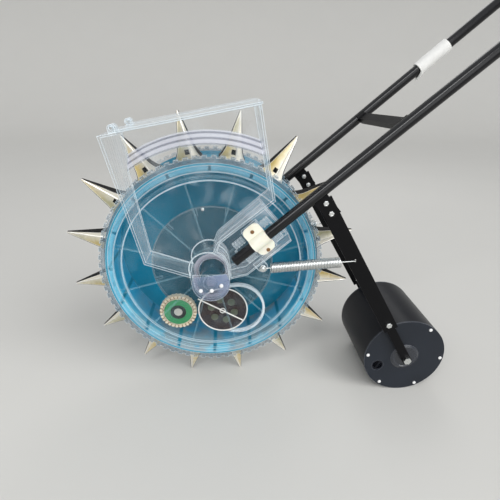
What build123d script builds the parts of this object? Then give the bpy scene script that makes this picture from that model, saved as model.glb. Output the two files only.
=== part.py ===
from build123d import *
import os
from math import acos, atan2, copysign, cos, degrees, hypot, pi, radians, sin, tan

# Hand-pushed row seeder: a drum with duckbills round its rim, a hopper that feeds it through the hub,
# a two-tube push handle and a press roller on two sprung arms.
# X runs to the rear, where the operator walks, Y runs across and Z up, in millimetres.
# Pieces are drawn about the drum's axle. The near side, with the hopper, is at negative Y.

# Drum
AXLE_RADIUS = 8.0
AXLE_REACH = 121.0
BORE_CLEARANCE = 0.05
SHELL_RADIUS = 209.0
SHELL_WALL = 3.0
DRUM_HALF_WIDTH = 58.0
PANEL_WALL = 2.5
RIB_COUNT = 12
RIB_WIDTH = 2.0
RIB_HEIGHT = 3.0
COVER_HOLE_RADIUS = 42.0
COVER_RING_INSETS = (30.0, 14.0)
COVER_RING_WIDTH = 2.2
INNER_RING_INSET = 27.0
INNER_RING_DEPTH = 17.0
DISC_INSET = 86.0
DISC_BACK = -33.0
DISC_WALL = 3.0
DISC_LIP = 4.0
DISC_TAB_LENGTH = 15.0
DRUM_HUB_RADIUS = 20.0
SEED_ROLLER_RADIUS = 20.5
SEED_ROLLER_FACE = -109.0
SEED_CELL_RADIUS = 5.0
SEED_CELL_COUNT = 6
RIM_DEPTH = 13.0
RIM_WIDTH = 12.0
TOOTH_HEIGHT = 4.0
TOOTH_WIDTH = 9.0
TEETH_PER_BILL = 5
SEAT_GAP = 0.2

# Duckbills
BILL_COUNT = 16
TIP_RADIUS = 300.0
BILL_WALL = 1.5
FOOT_LENGTH = 50.0
FOOT_WIDTH = 44.0
FOOT_THICK = 3.0
BACK_THICK = 1.5
# Where each half starts and ends along the rim, at its foot and at its tip, and half its width at each
FIXED_FOOT = (-23.0, 7.0)
FIXED_TIP = (-1.0, 0.4)
FIXED_HALVES = (15.0, 6.0)
FLAP_FOOT = (8.0, 23.0)
FLAP_TIP = (0.6, 1.6)
FLAP_HALVES = (14.0, 5.5)

# Handle
HANDLE_SLOPE = 40.8
TUBE_RADIUS = 10.0
TUBE_WALL = 1.5
TUBE_Y = 109.0
TUBE_START = 58.0
BEND_AT = 840.0
BEND_RADIUS = 80.0
GRIP_SLOPE = 8.0
GRIP_REACH = 165.0
GRIP_LENGTH = 125.0
GRIP_WALL = 5.0
SLEEVE_SPAN = (557.0, 640.0)
SLEEVE_WALL = 4.0
CROSSBAR_AT = 430.0
CROSSBAR_WIDTH = 18.0
CROSSBAR_THICK = 3.0
CROSSBAR_SKEW = 9.0
SADDLE_DEPTH = 18.0

# Hopper
WALL = 3.0
HOPPER_FRONT = -127.0
HOPPER_BACK = -67.0
HOPPER_STEP_BACK = -40.0
FRONT_LEAN = 0.198
LEAN_START = 42.0
TOP_FRONT_CORNER = (-156.0, 269.0)
TOP_REAR_CORNER = (82.0, 315.0)
LOW_FRONT_CORNER = (-118.0, 42.0)
FLOOR_FOOT = (-30.0, 11.5)
SLOPE_OFFSET = 52.0
SLOPE_SPAN = (66.0, 191.0)
STEP_CLEARANCES = (21.0, 40.0)
HUB_RADIUS = 35.0
HUB_TOP = (-4.0, 30.0)
SLEEVE_RADIUS = 34.0
SLEEVE_END = -42.0
BOSS_WALL = 6.0
ROLLER_HOLE_RADIUS = 26.0
BAFFLE_FACE = -118.0
BAFFLE_TOP = 14.0

# Lid
HINGE_INSET = 22.0
HINGE_RISE = 6.5
PIN_RADIUS = 2.0
KNUCKLE_RADIUS = 5.5
PIN_SPAN = (-168.0, -43.0)
EAR_WIDTH = 8.0
KNUCKLE_GAP = 1.0
KNUCKLE_LENGTH = 10.0
LID_GAP = 0.3
LID_THICK = 3.0
LID_OVERHANG = 2.0
LATCH_SPAN = (-118.0, -88.0)
LATCH_DROP = 12.0

# Handle channel and its clamp
CHANNEL_FLOOR = -95.0
CHANNEL_FACE = -125.0
CHANNEL_LOW = -31.0
CHANNEL_FOOT = 62.0
CHANNEL_END = 165.0
CLAMP_AT = 120.0
CLAMP_LENGTH = 35.0
CLAMP_EARS = (-27.6, 35.0)
CLAMP_WALL = 3.0
CLAMP_CORNER = 11.0
CLAMP_SCREW_V = 23.0
LEDGE_FACE = -107.0
LEDGE_SPAN = (13.0, 33.0)
RATCHET_PITCH = 6.0
RATCHET_SPAN = (12.0, 25.0)
RATCHET_HEIGHT = 6.0

# Press arm and roller
ROLLER_RADIUS = 88.8
ROLLER_X = 415.2
ROLLER_HALF = 91.0
ROLLER_WALL = 3.0
ROLLER_AXLE_RADIUS = 5.0
CAP_BOSS_RADIUS = 24.0
CAP_BOSS_HEIGHT = 2.0
PLUG_RADIUS = 13.0
PLUG_AT = (-57.0, -22.0)
ARM_WIDTH = 30.0
ARM_START = 94.0
ARM_END = 5.0
PLATE_THICK = 4.0
STRAP_WIDTH = 19.0
STRAP_SPAN = (-14.0, 123.0)
KNEE_AT = 109.5
LUG_BOLT = (252.5, -21.0)
LUG_PITCH = 22.0
LUG_SPAN = (236.0, 264.0)
LUG_DROP = 52.0
LUG_FACE = -111.0
HOOK_AT = 280.0
M6_RADIUS = 3.0
M8_RADIUS = 4.0
BOLT_GAP = 0.1

# Spring
SPRING_EYE = (97.0, 22.0)
SPRING_RADIUS = 9.0
SPRING_WIRE = 1.25
SPRING_LEAD = 15.0
SPRING_HOOK = 30.0
EYE_RADIUS = 5.5
TAB_WIDTH = 20.0
TAB_FACE = -104.0

# Spare seed wheels that lie inside the drum: the angle where the first lies, their radii and faces
SPARE_WHEEL_ANGLE = -125.7
SPARE_WHEEL_LIFT = 14.4
SPARE_WHEEL_RADII = (40.4, 29.5, 16.4, 8.7)
SPARE_WHEEL_SPAN = (-55.4, -43.4)
SPARE_DISC_GAP = 1.6
SPARE_DISC_LIFT = 27.0
SPARE_DISC_RADIUS = 52.0
SPARE_DISC_SPAN = (-53.2, -51.0)
SPARE_DISC_BOSS = (5.0, 2.2)
SPARE_HOOP_TURN = 15.3
SPARE_HOOP_LIFT = 9.9
SPARE_HOOP_RADII = (59.0, 54.0)
SPARE_HOOP_SPAN = (-50.9, -42.4)

# Worked out
slope = radians(HANDLE_SLOPE)
handle_plane = Plane(origin=(0, 0, 0), x_dir=(cos(slope), 0, sin(slope)), z_dir=(-sin(slope), 0, cos(slope)))
bill_pitch = 360.0 / BILL_COUNT
axle_height = TIP_RADIUS * cos(pi / BILL_COUNT) + FLAP_TIP[1] * sin(pi / BILL_COUNT)
rim_radius = SHELL_RADIUS + RIM_DEPTH
cover_rings = [SHELL_RADIUS - inset for inset in COVER_RING_INSETS]
inner_ring_radius = SHELL_RADIUS - INNER_RING_INSET
step_radii = [rim_radius + clearance for clearance in STEP_CLEARANCES]
fixed_half = (FIXED_FOOT, FIXED_TIP, *FIXED_HALVES)
flap_half = (FLAP_FOOT, FLAP_TIP, *FLAP_HALVES)
disc_radius = SHELL_RADIUS - DISC_INSET
foot_seat = SHELL_RADIUS + SEAT_GAP
bill_seat = foot_seat + FOOT_THICK
roller_z = ROLLER_RADIUS - axle_height
lid_angle = atan2(TOP_REAR_CORNER[1] - TOP_FRONT_CORNER[1], TOP_REAR_CORNER[0] - TOP_FRONT_CORNER[0])
lid_length = hypot(TOP_REAR_CORNER[0] - TOP_FRONT_CORNER[0], TOP_REAR_CORNER[1] - TOP_FRONT_CORNER[1])
far_out = 400.0


def on_tube(s, v):
    """A point in X and Z: s along the handle from the axle, v square to it, upwards."""
    return (s * cos(slope) - v * sin(slope), s * sin(slope) + v * cos(slope))


lug_x, lug_z = on_tube(*LUG_BOLT)
arm_slope = atan2(lug_z - roller_z, lug_x - ROLLER_X)
arm_length = hypot(lug_x - ROLLER_X, lug_z - roller_z)
lug_bolts_at = (arm_length - LUG_PITCH, arm_length)


def on_arm(s, v=0.0):
    """A point in X and Z: s along the press arm from the roller's axle, v to its rear side."""
    run, rise = cos(arm_slope), sin(arm_slope)
    return (ROLLER_X + s * run + v * rise, roller_z + s * rise - v * run)


def on_lid(u, w):
    """A point in X and Z: u along the hopper's top edge from its front corner, w above it."""
    x, z = TOP_FRONT_CORNER
    return (x + u * cos(lid_angle) - w * sin(lid_angle), z + u * sin(lid_angle) + w * cos(lid_angle))


def slab(sketch, y_near, y_far):
    """A sketch in X and Z, given its thickness across the machine."""
    return extrude(Plane.XZ.offset(-y_far) * sketch, amount=y_far - y_near)


def disc(radius, y_near, y_far, centre=(0.0, 0.0)):
    return slab(Pos(*centre) * Circle(radius), y_near, y_far)


def ring(outer, inner, y_near, y_far, centre=(0.0, 0.0)):
    return slab(Pos(*centre) * (Circle(outer) - Circle(inner)), y_near, y_far)


def polygon(*points):
    return make_face(Polyline(*points, close=True))


def framed(place, s_span, v_span):
    """A rectangle in one of the slanted frames, such as on_tube."""
    corners = [(s, v) for s, v in ((0, 0), (1, 0), (1, 1), (0, 1))]
    return polygon(*[place(s_span[i], v_span[j]) for i, j in corners])


def round_bar(place, s_span, width):
    """A flat bar with rounded ends in one of the slanted frames."""
    a, b = place(s_span[0] + width / 2, 0), place(s_span[1] - width / 2, 0)
    angle = degrees(atan2(b[1] - a[1], b[0] - a[0]))
    middle = Pos((a[0] + b[0]) / 2, (a[1] + b[1]) / 2) * Rot(0, 0, angle)
    return middle * SlotCenterToCenter(hypot(b[0] - a[0], b[1] - a[1]), width)


def round_the_axle(piece, count, start=0.0):
    return [Rot(0, start + i * 360.0 / count, 0) * piece for i in range(count)]


# Drum
def spokes(inner, outer, width):
    """Radial ribs as a sketch, half a rib pitch off the vertical."""
    bars = Sketch()
    for i in range(RIB_COUNT):
        turn = Rot(0, 0, (i + 0.5) * 360.0 / RIB_COUNT)
        bars += turn * Pos((inner + outer) / 2, 0) * Rectangle(outer - inner, width)
    return bars


def drum_shell():
    """The teal tub: the wall under the duckbills and the far side, with ribs and a hub."""
    inner = SHELL_RADIUS - SHELL_WALL
    back = DRUM_HALF_WIDTH - PANEL_WALL
    bore = AXLE_RADIUS + BORE_CLEARANCE
    tub = ring(SHELL_RADIUS, inner, -DRUM_HALF_WIDTH, DRUM_HALF_WIDTH)
    tub += ring(inner, bore, back, DRUM_HALF_WIDTH)
    ribs = spokes(DRUM_HUB_RADIUS - RIB_WIDTH, cover_rings[1] - COVER_RING_WIDTH / 2, RIB_WIDTH)
    tub += slab(ribs, DRUM_HALF_WIDTH, DRUM_HALF_WIDTH + RIB_HEIGHT)
    for radius in cover_rings:
        tub += ring(radius, radius - COVER_RING_WIDTH, DRUM_HALF_WIDTH, DRUM_HALF_WIDTH + RIB_HEIGHT)
    tub += ring(DRUM_HUB_RADIUS, bore, back - 8.0, DRUM_HALF_WIDTH + RIB_HEIGHT)
    return tub


def drum_cover():
    """The clear near side, with ribs, two raised rings and the ring that spare wheels lie on."""
    face = -DRUM_HALF_WIDTH
    inside = face + PANEL_WALL
    top = face - RIB_HEIGHT
    edge = SHELL_RADIUS - SHELL_WALL - SEAT_GAP
    cover = ring(edge, COVER_HOLE_RADIUS, face, inside)
    low_ring, high_ring = (radius - COVER_RING_WIDTH / 2 for radius in cover_rings)
    cover += slab(spokes(COVER_HOLE_RADIUS + WALL / 2, high_ring, RIB_WIDTH), top, face)
    cover += slab(spokes(low_ring, high_ring, 4 * RIB_WIDTH), top, face)
    cover += ring(COVER_HOLE_RADIUS + WALL, COVER_HOLE_RADIUS, top, face)
    for radius in cover_rings:
        cover += ring(radius, radius - COVER_RING_WIDTH, top, face)
    cover += ring(inner_ring_radius + PANEL_WALL, inner_ring_radius, inside, inside + INNER_RING_DEPTH)
    return cover


def metering_disc():
    """The smoked disc behind the cover, with a lip and short tabs round its edge."""
    bore = AXLE_RADIUS + BORE_CLEARANCE
    face = DISC_BACK - DISC_WALL
    plate = ring(disc_radius, bore, face, DISC_BACK)
    plate += ring(disc_radius, disc_radius - RIB_WIDTH, face - DISC_LIP, face)
    tabs = spokes(disc_radius - DISC_TAB_LENGTH, disc_radius - RIB_WIDTH / 2, 2 * RIB_WIDTH)
    plate += slab(tabs, face - DISC_LIP, face)
    return plate + ring(DRUM_HUB_RADIUS, bore, DISC_BACK, DISC_BACK + 8.0)


def seed_roller():
    """The teal roller in the hub that turns with the drum and lifts seed in its cells."""
    bore = AXLE_RADIUS + BORE_CLEARANCE
    roller = ring(SEED_ROLLER_RADIUS, bore, SEED_ROLLER_FACE, DISC_BACK - DISC_WALL - SEAT_GAP)
    middle = (SEED_ROLLER_FACE + HOPPER_BACK - WALL) / 2
    cell = Pos(0, middle, SEED_ROLLER_RADIUS) * Sphere(SEED_CELL_RADIUS)
    for piece in round_the_axle(cell, SEED_CELL_COUNT):
        roller -= piece
    return roller


def rim(side):
    """A toothed clear ring at one edge of the drum."""
    root = rim_radius - TOOTH_HEIGHT
    outline = Circle(root) - Circle(SHELL_RADIUS + SEAT_GAP)
    count = BILL_COUNT * TEETH_PER_BILL
    for i in range(count):
        turn = Rot(0, 0, (i + 0.5) * 360.0 / count)
        outline += turn * Pos(rim_radius - TOOTH_HEIGHT, 0) * Rectangle(2 * TOOTH_HEIGHT, TOOTH_WIDTH)
    inner, outer = DRUM_HALF_WIDTH - RIM_WIDTH, DRUM_HALF_WIDTH
    if side < 0:
        return slab(outline, -outer, -inner)
    return slab(outline, inner, outer)


# Duckbills
def taper(foot, tip, low, high):
    """A straight taper between two rectangles, each a span along the rim and half a width."""
    along = slab(polygon((foot[0], low), (foot[1], low), (tip[1], high), (tip[0], high)), -far_out, far_out)
    across = polygon((-foot[2], low), (foot[2], low), (tip[2], high), (-tip[2], high))
    return along & extrude(Plane.YZ.offset(-far_out) * across, amount=2 * far_out)


def bill_section(half_bill, z):
    """Start, end and half width of one half of a bill at a height above the axle."""
    share = (z - bill_seat) / (TIP_RADIUS - bill_seat)
    foot, tip, foot_half, tip_half = half_bill
    start, end = (a + (b - a) * share for a, b in zip(foot, tip))
    return start, end, foot_half + (tip_half - foot_half) * share


def bill_half(half_bill, open_side):
    """A folded sheet cup, open towards the other half of the bill."""
    ends = [bill_section(half_bill, z) for z in (bill_seat, TIP_RADIUS)]
    body = taper(*ends, bill_seat, TIP_RADIUS)
    top = TIP_RADIUS - 12 * BILL_WALL
    cavity = []
    for z in (bill_seat, top):
        start, end, half = bill_section(half_bill, z)
        if open_side > 0:
            cavity.append((start + BILL_WALL, end + BILL_WALL, half - BILL_WALL))
        else:
            cavity.append((start - BILL_WALL, end - BILL_WALL, half - BILL_WALL))
    return body - taper(cavity[0], cavity[1], bill_seat, top)


def bill_back(half_bill, side):
    """The dark strip on the outer edge of one half."""
    rows = []
    for z in (bill_seat, TIP_RADIUS - 4 * BILL_WALL):
        start, end, half = bill_section(half_bill, z)
        rows.append((start - BACK_THICK, start, half) if side < 0 else (end, end + BACK_THICK, half))
    return taper(rows[0], rows[1], bill_seat, TIP_RADIUS - 4 * BILL_WALL)


def bill_foot():
    return Pos(0, 0, foot_seat + FOOT_THICK / 2) * Box(FOOT_LENGTH, FOOT_WIDTH, FOOT_THICK)


def bills(piece):
    return round_the_axle(piece, BILL_COUNT, bill_pitch / 2)


# Hopper, with the hub that it feeds
def hub_outline():
    middle = Pos(HUB_TOP[0] / 2, HUB_TOP[1] / 2) * Rot(0, 0, degrees(atan2(HUB_TOP[1], HUB_TOP[0])))
    return middle * SlotCenterToCenter(hypot(*HUB_TOP), 2 * HUB_RADIUS)


def hopper_outline():
    low_rear, high_rear = (on_tube(s, SLOPE_OFFSET) for s in SLOPE_SPAN)
    rear = (TOP_REAR_CORNER, high_rear, low_rear)
    funnel = polygon(TOP_FRONT_CORNER, *rear, HUB_TOP, FLOOR_FOOT, LOW_FRONT_CORNER)
    return funnel + hub_outline()


def front_of_hopper(inset):
    """All that lies in front of the hopper's leaning front wall."""
    y = HOPPER_FRONT + inset
    lean = FRONT_LEAN * (far_out - LEAN_START)
    behind = ((-far_out, far_out), (-far_out, -far_out))
    side = polygon((y, -far_out), (y, LEAN_START), (y - lean, far_out), *behind)
    return extrude(Plane.YZ.offset(-far_out) * side, amount=2 * far_out)


def hopper_block(inset):
    """The hopper as a solid, each face moved in by the inset."""
    outline = offset(hopper_outline(), -inset) if inset else hopper_outline()
    back, step = HOPPER_BACK - inset, HOPPER_STEP_BACK - inset
    block = slab(outline, -far_out / 2, back) - front_of_hopper(inset)
    grown = [radius + inset for radius in step_radii]
    over_the_rim = slab(outline, back, step)
    over_the_rim -= Pos(0, (back + step) / 2, 0) * Rot(-90, 0, 0) * Cone(grown[0], grown[1], step - back)
    return block + over_the_rim


def hub_bosses():
    """Bosses for the axle, one in each wall of the hub, and the hole through both."""
    bore = AXLE_RADIUS + BORE_CLEARANCE
    boss = AXLE_RADIUS + BOSS_WALL
    bosses = ring(boss, bore, HOPPER_FRONT + WALL, HOPPER_FRONT + 4 * WALL)
    bosses += ring(boss, bore, HOPPER_BACK - 4 * WALL, HOPPER_BACK - WALL)
    return bosses, disc(bore, HOPPER_FRONT + WALL, HOPPER_BACK)


def near_hub_inside():
    """A boss for the axle and, in front of the seed roller, a plate that shuts the hub's lower half."""
    bore = AXLE_RADIUS + BORE_CLEARANCE
    boss = AXLE_RADIUS + BOSS_WALL
    inside = ring(boss, bore, HOPPER_FRONT + WALL, BAFFLE_FACE + WALL)
    lower_half = Pos(0, BAFFLE_TOP - HUB_RADIUS) * Rectangle(4 * HUB_RADIUS, 2 * HUB_RADIUS)
    baffle = (hub_outline() & lower_half) - Circle(bore)
    return inside + slab(baffle, BAFFLE_FACE, BAFFLE_FACE + WALL)


def seed_sleeve():
    """The short tube that takes the seed from the hub through the drum's cover."""
    return ring(SLEEVE_RADIUS, SLEEVE_RADIUS - WALL, HOPPER_BACK, SLEEVE_END)


def lid_region(u_span, w_span, inset, back):
    """A block over the hopper's top, trimmed to its leaning front."""
    return slab(framed(on_lid, u_span, w_span), -far_out / 2, back) - front_of_hopper(inset)


def hinge_ears():
    ear = Pos(*on_lid(HINGE_INSET, HINGE_RISE)) * Circle(KNUCKLE_RADIUS)
    foot = (HINGE_INSET - KNUCKLE_RADIUS, HINGE_INSET + KNUCKLE_RADIUS)
    ear += framed(on_lid, foot, (-WALL / 2, HINGE_RISE))
    ear -= Pos(*on_lid(HINGE_INSET, HINGE_RISE)) * Circle(PIN_RADIUS + BORE_CLEARANCE)
    return slab(ear, PIN_SPAN[0], PIN_SPAN[0] + EAR_WIDTH) + slab(ear, PIN_SPAN[1] - EAR_WIDTH, PIN_SPAN[1])


def hopper_moulding():
    """The hopper and the near hub as the one moulding that they are."""
    shell = hopper_block(0.0) - hopper_block(WALL)
    mouth_start = HINGE_INSET + KNUCKLE_RADIUS
    mouth = (mouth_start, lid_length - 1.2 * WALL)
    shell -= lid_region(mouth, (-1.5 * WALL, far_out / 10), WALL, HOPPER_STEP_BACK - WALL)
    shell -= disc(AXLE_RADIUS + BORE_CLEARANCE, HOPPER_FRONT + WALL / 2, HOPPER_BACK)
    shell -= disc(ROLLER_HOLE_RADIUS, HOPPER_BACK - 2 * WALL, HOPPER_BACK)
    return shell + near_hub_inside()


def hub_far():
    """The closed hub that carries the far end of the axle, drawn on the near side."""
    outline = hub_outline()
    cup = slab(outline, HOPPER_FRONT, HOPPER_BACK)
    cup -= slab(offset(outline, -WALL), HOPPER_FRONT + WALL, HOPPER_BACK - WALL)
    bosses, bore = hub_bosses()
    return cup + bosses - bore


# Lid
def knuckle_faces():
    """The faces of the lid's two knuckles that turn against the hopper's ears."""
    reach = EAR_WIDTH + KNUCKLE_GAP
    return PIN_SPAN[0] + reach, PIN_SPAN[1] - reach


def hopper_lid():
    hinge = on_lid(HINGE_INSET, HINGE_RISE)
    start = HINGE_INSET + KNUCKLE_RADIUS + 1.0
    levels = (LID_GAP, LID_GAP + LID_THICK)
    back = HOPPER_STEP_BACK + LID_OVERHANG
    lid = lid_region((start, lid_length + LID_OVERHANG), levels, -LID_OVERHANG, back)
    web = framed(on_lid, (HINGE_INSET, start), (LID_GAP + 0.5, LID_GAP + LID_THICK))
    barrel = Pos(*hinge) * Circle(KNUCKLE_RADIUS) + web
    barrel -= Pos(*hinge) * Circle(PIN_RADIUS + BORE_CLEARANCE)
    near, far = knuckle_faces()
    lid += slab(barrel, near, near + KNUCKLE_LENGTH) + slab(barrel, far - KNUCKLE_LENGTH, far)
    hook = framed(on_lid, (lid_length + 0.7, lid_length + 0.7 + LID_THICK), (-LATCH_DROP, levels[1]))
    return lid + slab(hook, *LATCH_SPAN)


def lid_pins():
    """A short pin through each ear and the knuckle beside it."""
    near, far = knuckle_faces()
    hinge = on_lid(HINGE_INSET, HINGE_RISE)
    pins = ((PIN_SPAN[0], near + KNUCKLE_LENGTH), (far - KNUCKLE_LENGTH, PIN_SPAN[1]))
    return [disc(PIN_RADIUS, *span, hinge) for span in pins]


# Handle channel and its clamp
def channel_outline():
    foot, low_end = on_tube(CHANNEL_FOOT, CHANNEL_LOW), on_tube(CHANNEL_END, CHANNEL_LOW)
    high_end, high_foot = on_tube(CHANNEL_END, SLOPE_OFFSET), on_tube(SLOPE_SPAN[0], SLOPE_OFFSET)
    whole = polygon((0.0, 0.0), foot, low_end, high_end, high_foot, HUB_TOP)
    return whole - offset(hub_outline(), SEAT_GAP)


def channel():
    """The clear trough that the handle tube lies in, with its tab for the spring."""
    outline = channel_outline()
    pocket = offset(outline, -WALL)
    inside = (CHANNEL_LOW + WALL, SLOPE_OFFSET - WALL)
    open_end = framed(on_tube, (CHANNEL_END - 2 * WALL, CHANNEL_END + WALL), inside)
    trough = slab(outline, CHANNEL_FACE, HOPPER_BACK)
    trough -= slab(pocket + open_end, CHANNEL_FACE, CHANNEL_FLOOR)
    trough -= slab(pocket, CHANNEL_FLOOR + WALL, HOPPER_BACK)
    seat = -TUBE_Y + TUBE_RADIUS + SEAT_GAP
    for s in (CHANNEL_FOOT + 2 * WALL, CHANNEL_END - 4 * WALL):
        trough += slab(framed(on_tube, (s, s + WALL), (-TUBE_RADIUS, TUBE_RADIUS)), seat, CHANNEL_FLOOR)
    span = (CLAMP_AT - CLAMP_LENGTH / 2, CLAMP_AT + CLAMP_LENGTH / 2)
    low_ledge = CHANNEL_LOW + WALL
    trough += slab(framed(on_tube, span, LEDGE_SPAN), LEDGE_FACE, CHANNEL_FLOOR)
    trough += slab(framed(on_tube, span, (low_ledge, -LEDGE_SPAN[0])), LEDGE_FACE, CHANNEL_FLOOR)
    for start, end in ((CHANNEL_FOOT + 4 * WALL, span[0] - WALL), (span[1] + WALL, CHANNEL_END - WALL)):
        for i in range(int((end - start) // RATCHET_PITCH)):
            s = start + i * RATCHET_PITCH
            for v_span in (RATCHET_SPAN, (-RATCHET_SPAN[1], -RATCHET_SPAN[0])):
                tooth = framed(on_tube, (s, s + RATCHET_PITCH / 2), v_span)
                trough += slab(tooth, CHANNEL_FLOOR - RATCHET_HEIGHT, CHANNEL_FLOOR)
    return trough + spring_tab()


def spring_tab():
    eye_s = SPRING_EYE[0] * cos(slope) + SPRING_EYE[1] * sin(slope)
    eye_v = SPRING_EYE[1] * cos(slope) - SPRING_EYE[0] * sin(slope)
    span = (eye_s - TAB_WIDTH / 2, eye_s + TAB_WIDTH / 2)
    tab = framed(on_tube, span, (eye_v, CHANNEL_LOW)) + Pos(*SPRING_EYE) * Circle(TAB_WIDTH / 2)
    tab -= Pos(*SPRING_EYE) * Circle(M6_RADIUS + BOLT_GAP)
    return slab(tab, TAB_FACE, TAB_FACE + PLATE_THICK)


def saddle_clamp():
    """The off-white strap over the tube, screwed to the channel's ledges."""
    bore, outer = TUBE_RADIUS + SEAT_GAP, TUBE_RADIUS + SEAT_GAP + CLAMP_WALL
    depth = TUBE_Y + LEDGE_FACE
    crown = Circle(outer) - Circle(bore)
    crown &= Pos(0, (outer - depth) / 2) * Rectangle(2 * outer, outer + depth)
    for end in CLAMP_EARS:
        inner = copysign(bore, end)
        crown += Pos((inner + end) / 2, CLAMP_WALL / 2 - depth) * Rectangle(abs(end - inner), CLAMP_WALL)
    start = on_tube(CLAMP_AT - CLAMP_LENGTH / 2, 0)
    upward = (-sin(slope), 0, cos(slope))
    along = (cos(slope), 0, sin(slope))
    plane = Plane(origin=(start[0], -TUBE_Y, start[1]), x_dir=upward, z_dir=along)
    strap = extrude(plane * crown, amount=CLAMP_LENGTH)
    span = (CLAMP_AT - CLAMP_LENGTH / 2, CLAMP_AT + CLAMP_LENGTH / 2)
    outline = framed(on_tube, span, CLAMP_EARS)
    strap &= slab(fillet(outline.vertices(), CLAMP_CORNER), -far_out, far_out)
    for v in (-CLAMP_SCREW_V, CLAMP_SCREW_V):
        strap -= disc(M6_RADIUS + BOLT_GAP, -far_out, LEDGE_FACE, on_tube(CLAMP_AT, v))
    return strap


# Handle
def handle_path(y):
    bend, start = on_tube(BEND_AT, 0), on_tube(TUBE_START, 0)
    end = (bend[0] + GRIP_REACH * cos(radians(GRIP_SLOPE)), bend[1] + GRIP_REACH * sin(radians(GRIP_SLOPE)))
    return FilletPolyline([(p[0], y, p[1]) for p in (start, bend, end)], radius=BEND_RADIUS)


def handle_tube(y):
    path = handle_path(y)
    section = Circle(TUBE_RADIUS) - Circle(TUBE_RADIUS - TUBE_WALL)
    return sweep(Plane(origin=path @ 0, z_dir=path % 0) * section, path=path)


def grip(y):
    path = handle_path(y)
    out = path % 1
    tube = TUBE_RADIUS + SEAT_GAP
    start = Plane(origin=(path @ 1) - out * GRIP_LENGTH, z_dir=out)
    sleeve = extrude(start * (Circle(tube + GRIP_WALL) - Circle(tube)), amount=GRIP_LENGTH)
    return sleeve + extrude(Plane(origin=path @ 1, z_dir=out) * Circle(tube + GRIP_WALL), amount=GRIP_WALL)


def on_handle_axis(s, y):
    """A plane square to the handle tube, its x axis across the machine."""
    x, z = on_tube(s, 0)
    return Plane(origin=(x, y, z), x_dir=(0, 1, 0), z_dir=(cos(slope), 0, sin(slope)))


def tube_sleeve():
    plane = on_handle_axis(SLEEVE_SPAN[0], TUBE_Y)
    tube = TUBE_RADIUS + SEAT_GAP
    section = Circle(tube + SLEEVE_WALL) - Circle(tube)
    return extrude(plane * section, amount=SLEEVE_SPAN[1] - SLEEVE_SPAN[0])


def crossbar():
    """An angle bar set a little askew between the tubes, with a saddle on the inner side of each."""
    bore = TUBE_RADIUS + SEAT_GAP
    outer = bore + CROSSBAR_THICK
    starts = {side: CROSSBAR_AT - (CROSSBAR_WIDTH + side * CROSSBAR_SKEW) / 2 for side in (-1, 1)}
    reach = TUBE_Y - (bore + outer) / 2
    bar = None
    for width, low in ((CROSSBAR_WIDTH, 0.0), (CROSSBAR_THICK, -bore)):
        far_edge = ((starts[1], reach), (starts[1] + width, reach))
        near_edge = ((starts[-1] + width, -reach), (starts[-1], -reach))
        leaf = extrude(handle_plane.offset(low) * polygon(*far_edge, *near_edge), amount=CROSSBAR_THICK - low)
        bar = leaf if bar is None else bar + leaf
    for side, start in starts.items():
        inward = Pos(-side * outer / 2, 0) * Rectangle(outer, SADDLE_DEPTH)
        arc = (Circle(outer) - Circle(bore)) & inward
        bar += extrude(on_handle_axis(start, side * TUBE_Y) * arc, amount=CROSSBAR_WIDTH)
    return bar


# Press arm and roller, drawn on the near side
def drilled(plate, y_near, y_far, holes):
    """A plate with holes, each a radius and a place."""
    for radius, place in holes:
        plate -= disc(radius + BOLT_GAP, y_near - 1.0, y_far + 1.0, place)
    return plate


def lug():
    y = (LUG_FACE, LUG_FACE + PLATE_THICK)
    plate = slab(framed(on_tube, LUG_SPAN, (-LUG_DROP, 0.0)), *y)
    plane = on_handle_axis(LUG_SPAN[0] - 1.0, -TUBE_Y)
    plate -= extrude(plane * Circle(TUBE_RADIUS + BORE_CLEARANCE), amount=LUG_SPAN[1] - LUG_SPAN[0] + 2.0)
    return drilled(plate, *y, [(M6_RADIUS, on_arm(s)) for s in lug_bolts_at])


def arm():
    y = (LUG_FACE + PLATE_THICK, LUG_FACE + 2 * PLATE_THICK)
    plate = slab(framed(on_arm, (ARM_START, arm_length + ARM_END), (-ARM_WIDTH / 2, ARM_WIDTH / 2)), *y)
    holes = [(M6_RADIUS, on_arm(s)) for s in lug_bolts_at]
    holes += [(M8_RADIUS, on_arm(KNEE_AT)), (2 * SPRING_WIRE, on_arm(HOOK_AT))]
    return drilled(plate, *y, holes)


def strap():
    y = (LUG_FACE + 2 * PLATE_THICK, LUG_FACE + 3 * PLATE_THICK)
    plate = slab(round_bar(on_arm, STRAP_SPAN, STRAP_WIDTH), *y)
    return drilled(plate, *y, [(M8_RADIUS, on_arm(KNEE_AT)), (ROLLER_AXLE_RADIUS, on_arm(0.0))])


def bolt(radius, place, face, grip_length):
    """A bolt from its head, in front of face, through to its nut."""
    head, height = 1.8 * radius, 1.1 * radius
    whole = disc(head, face - height, face, place)
    whole += disc(radius, face, face + grip_length, place)
    nut = Pos(*place) * RegularPolygon(head, 6)
    return whole + slab(nut, face + grip_length, face + grip_length + height)


def frame_bolts():
    face = LUG_FACE
    row = [bolt(M6_RADIUS, on_arm(s), face, 2 * PLATE_THICK) for s in lug_bolts_at]
    row.append(bolt(M8_RADIUS, on_arm(KNEE_AT), face + PLATE_THICK, 2 * PLATE_THICK))
    row.append(spring_screw())
    return row


def spring_screw():
    head_face = -TUBE_Y - 2 * SPRING_WIRE
    screw = disc(1.8 * M6_RADIUS, head_face - M6_RADIUS, head_face, SPRING_EYE)
    return screw + disc(M6_RADIUS, head_face, TAB_FACE + PLATE_THICK, SPRING_EYE)


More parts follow.
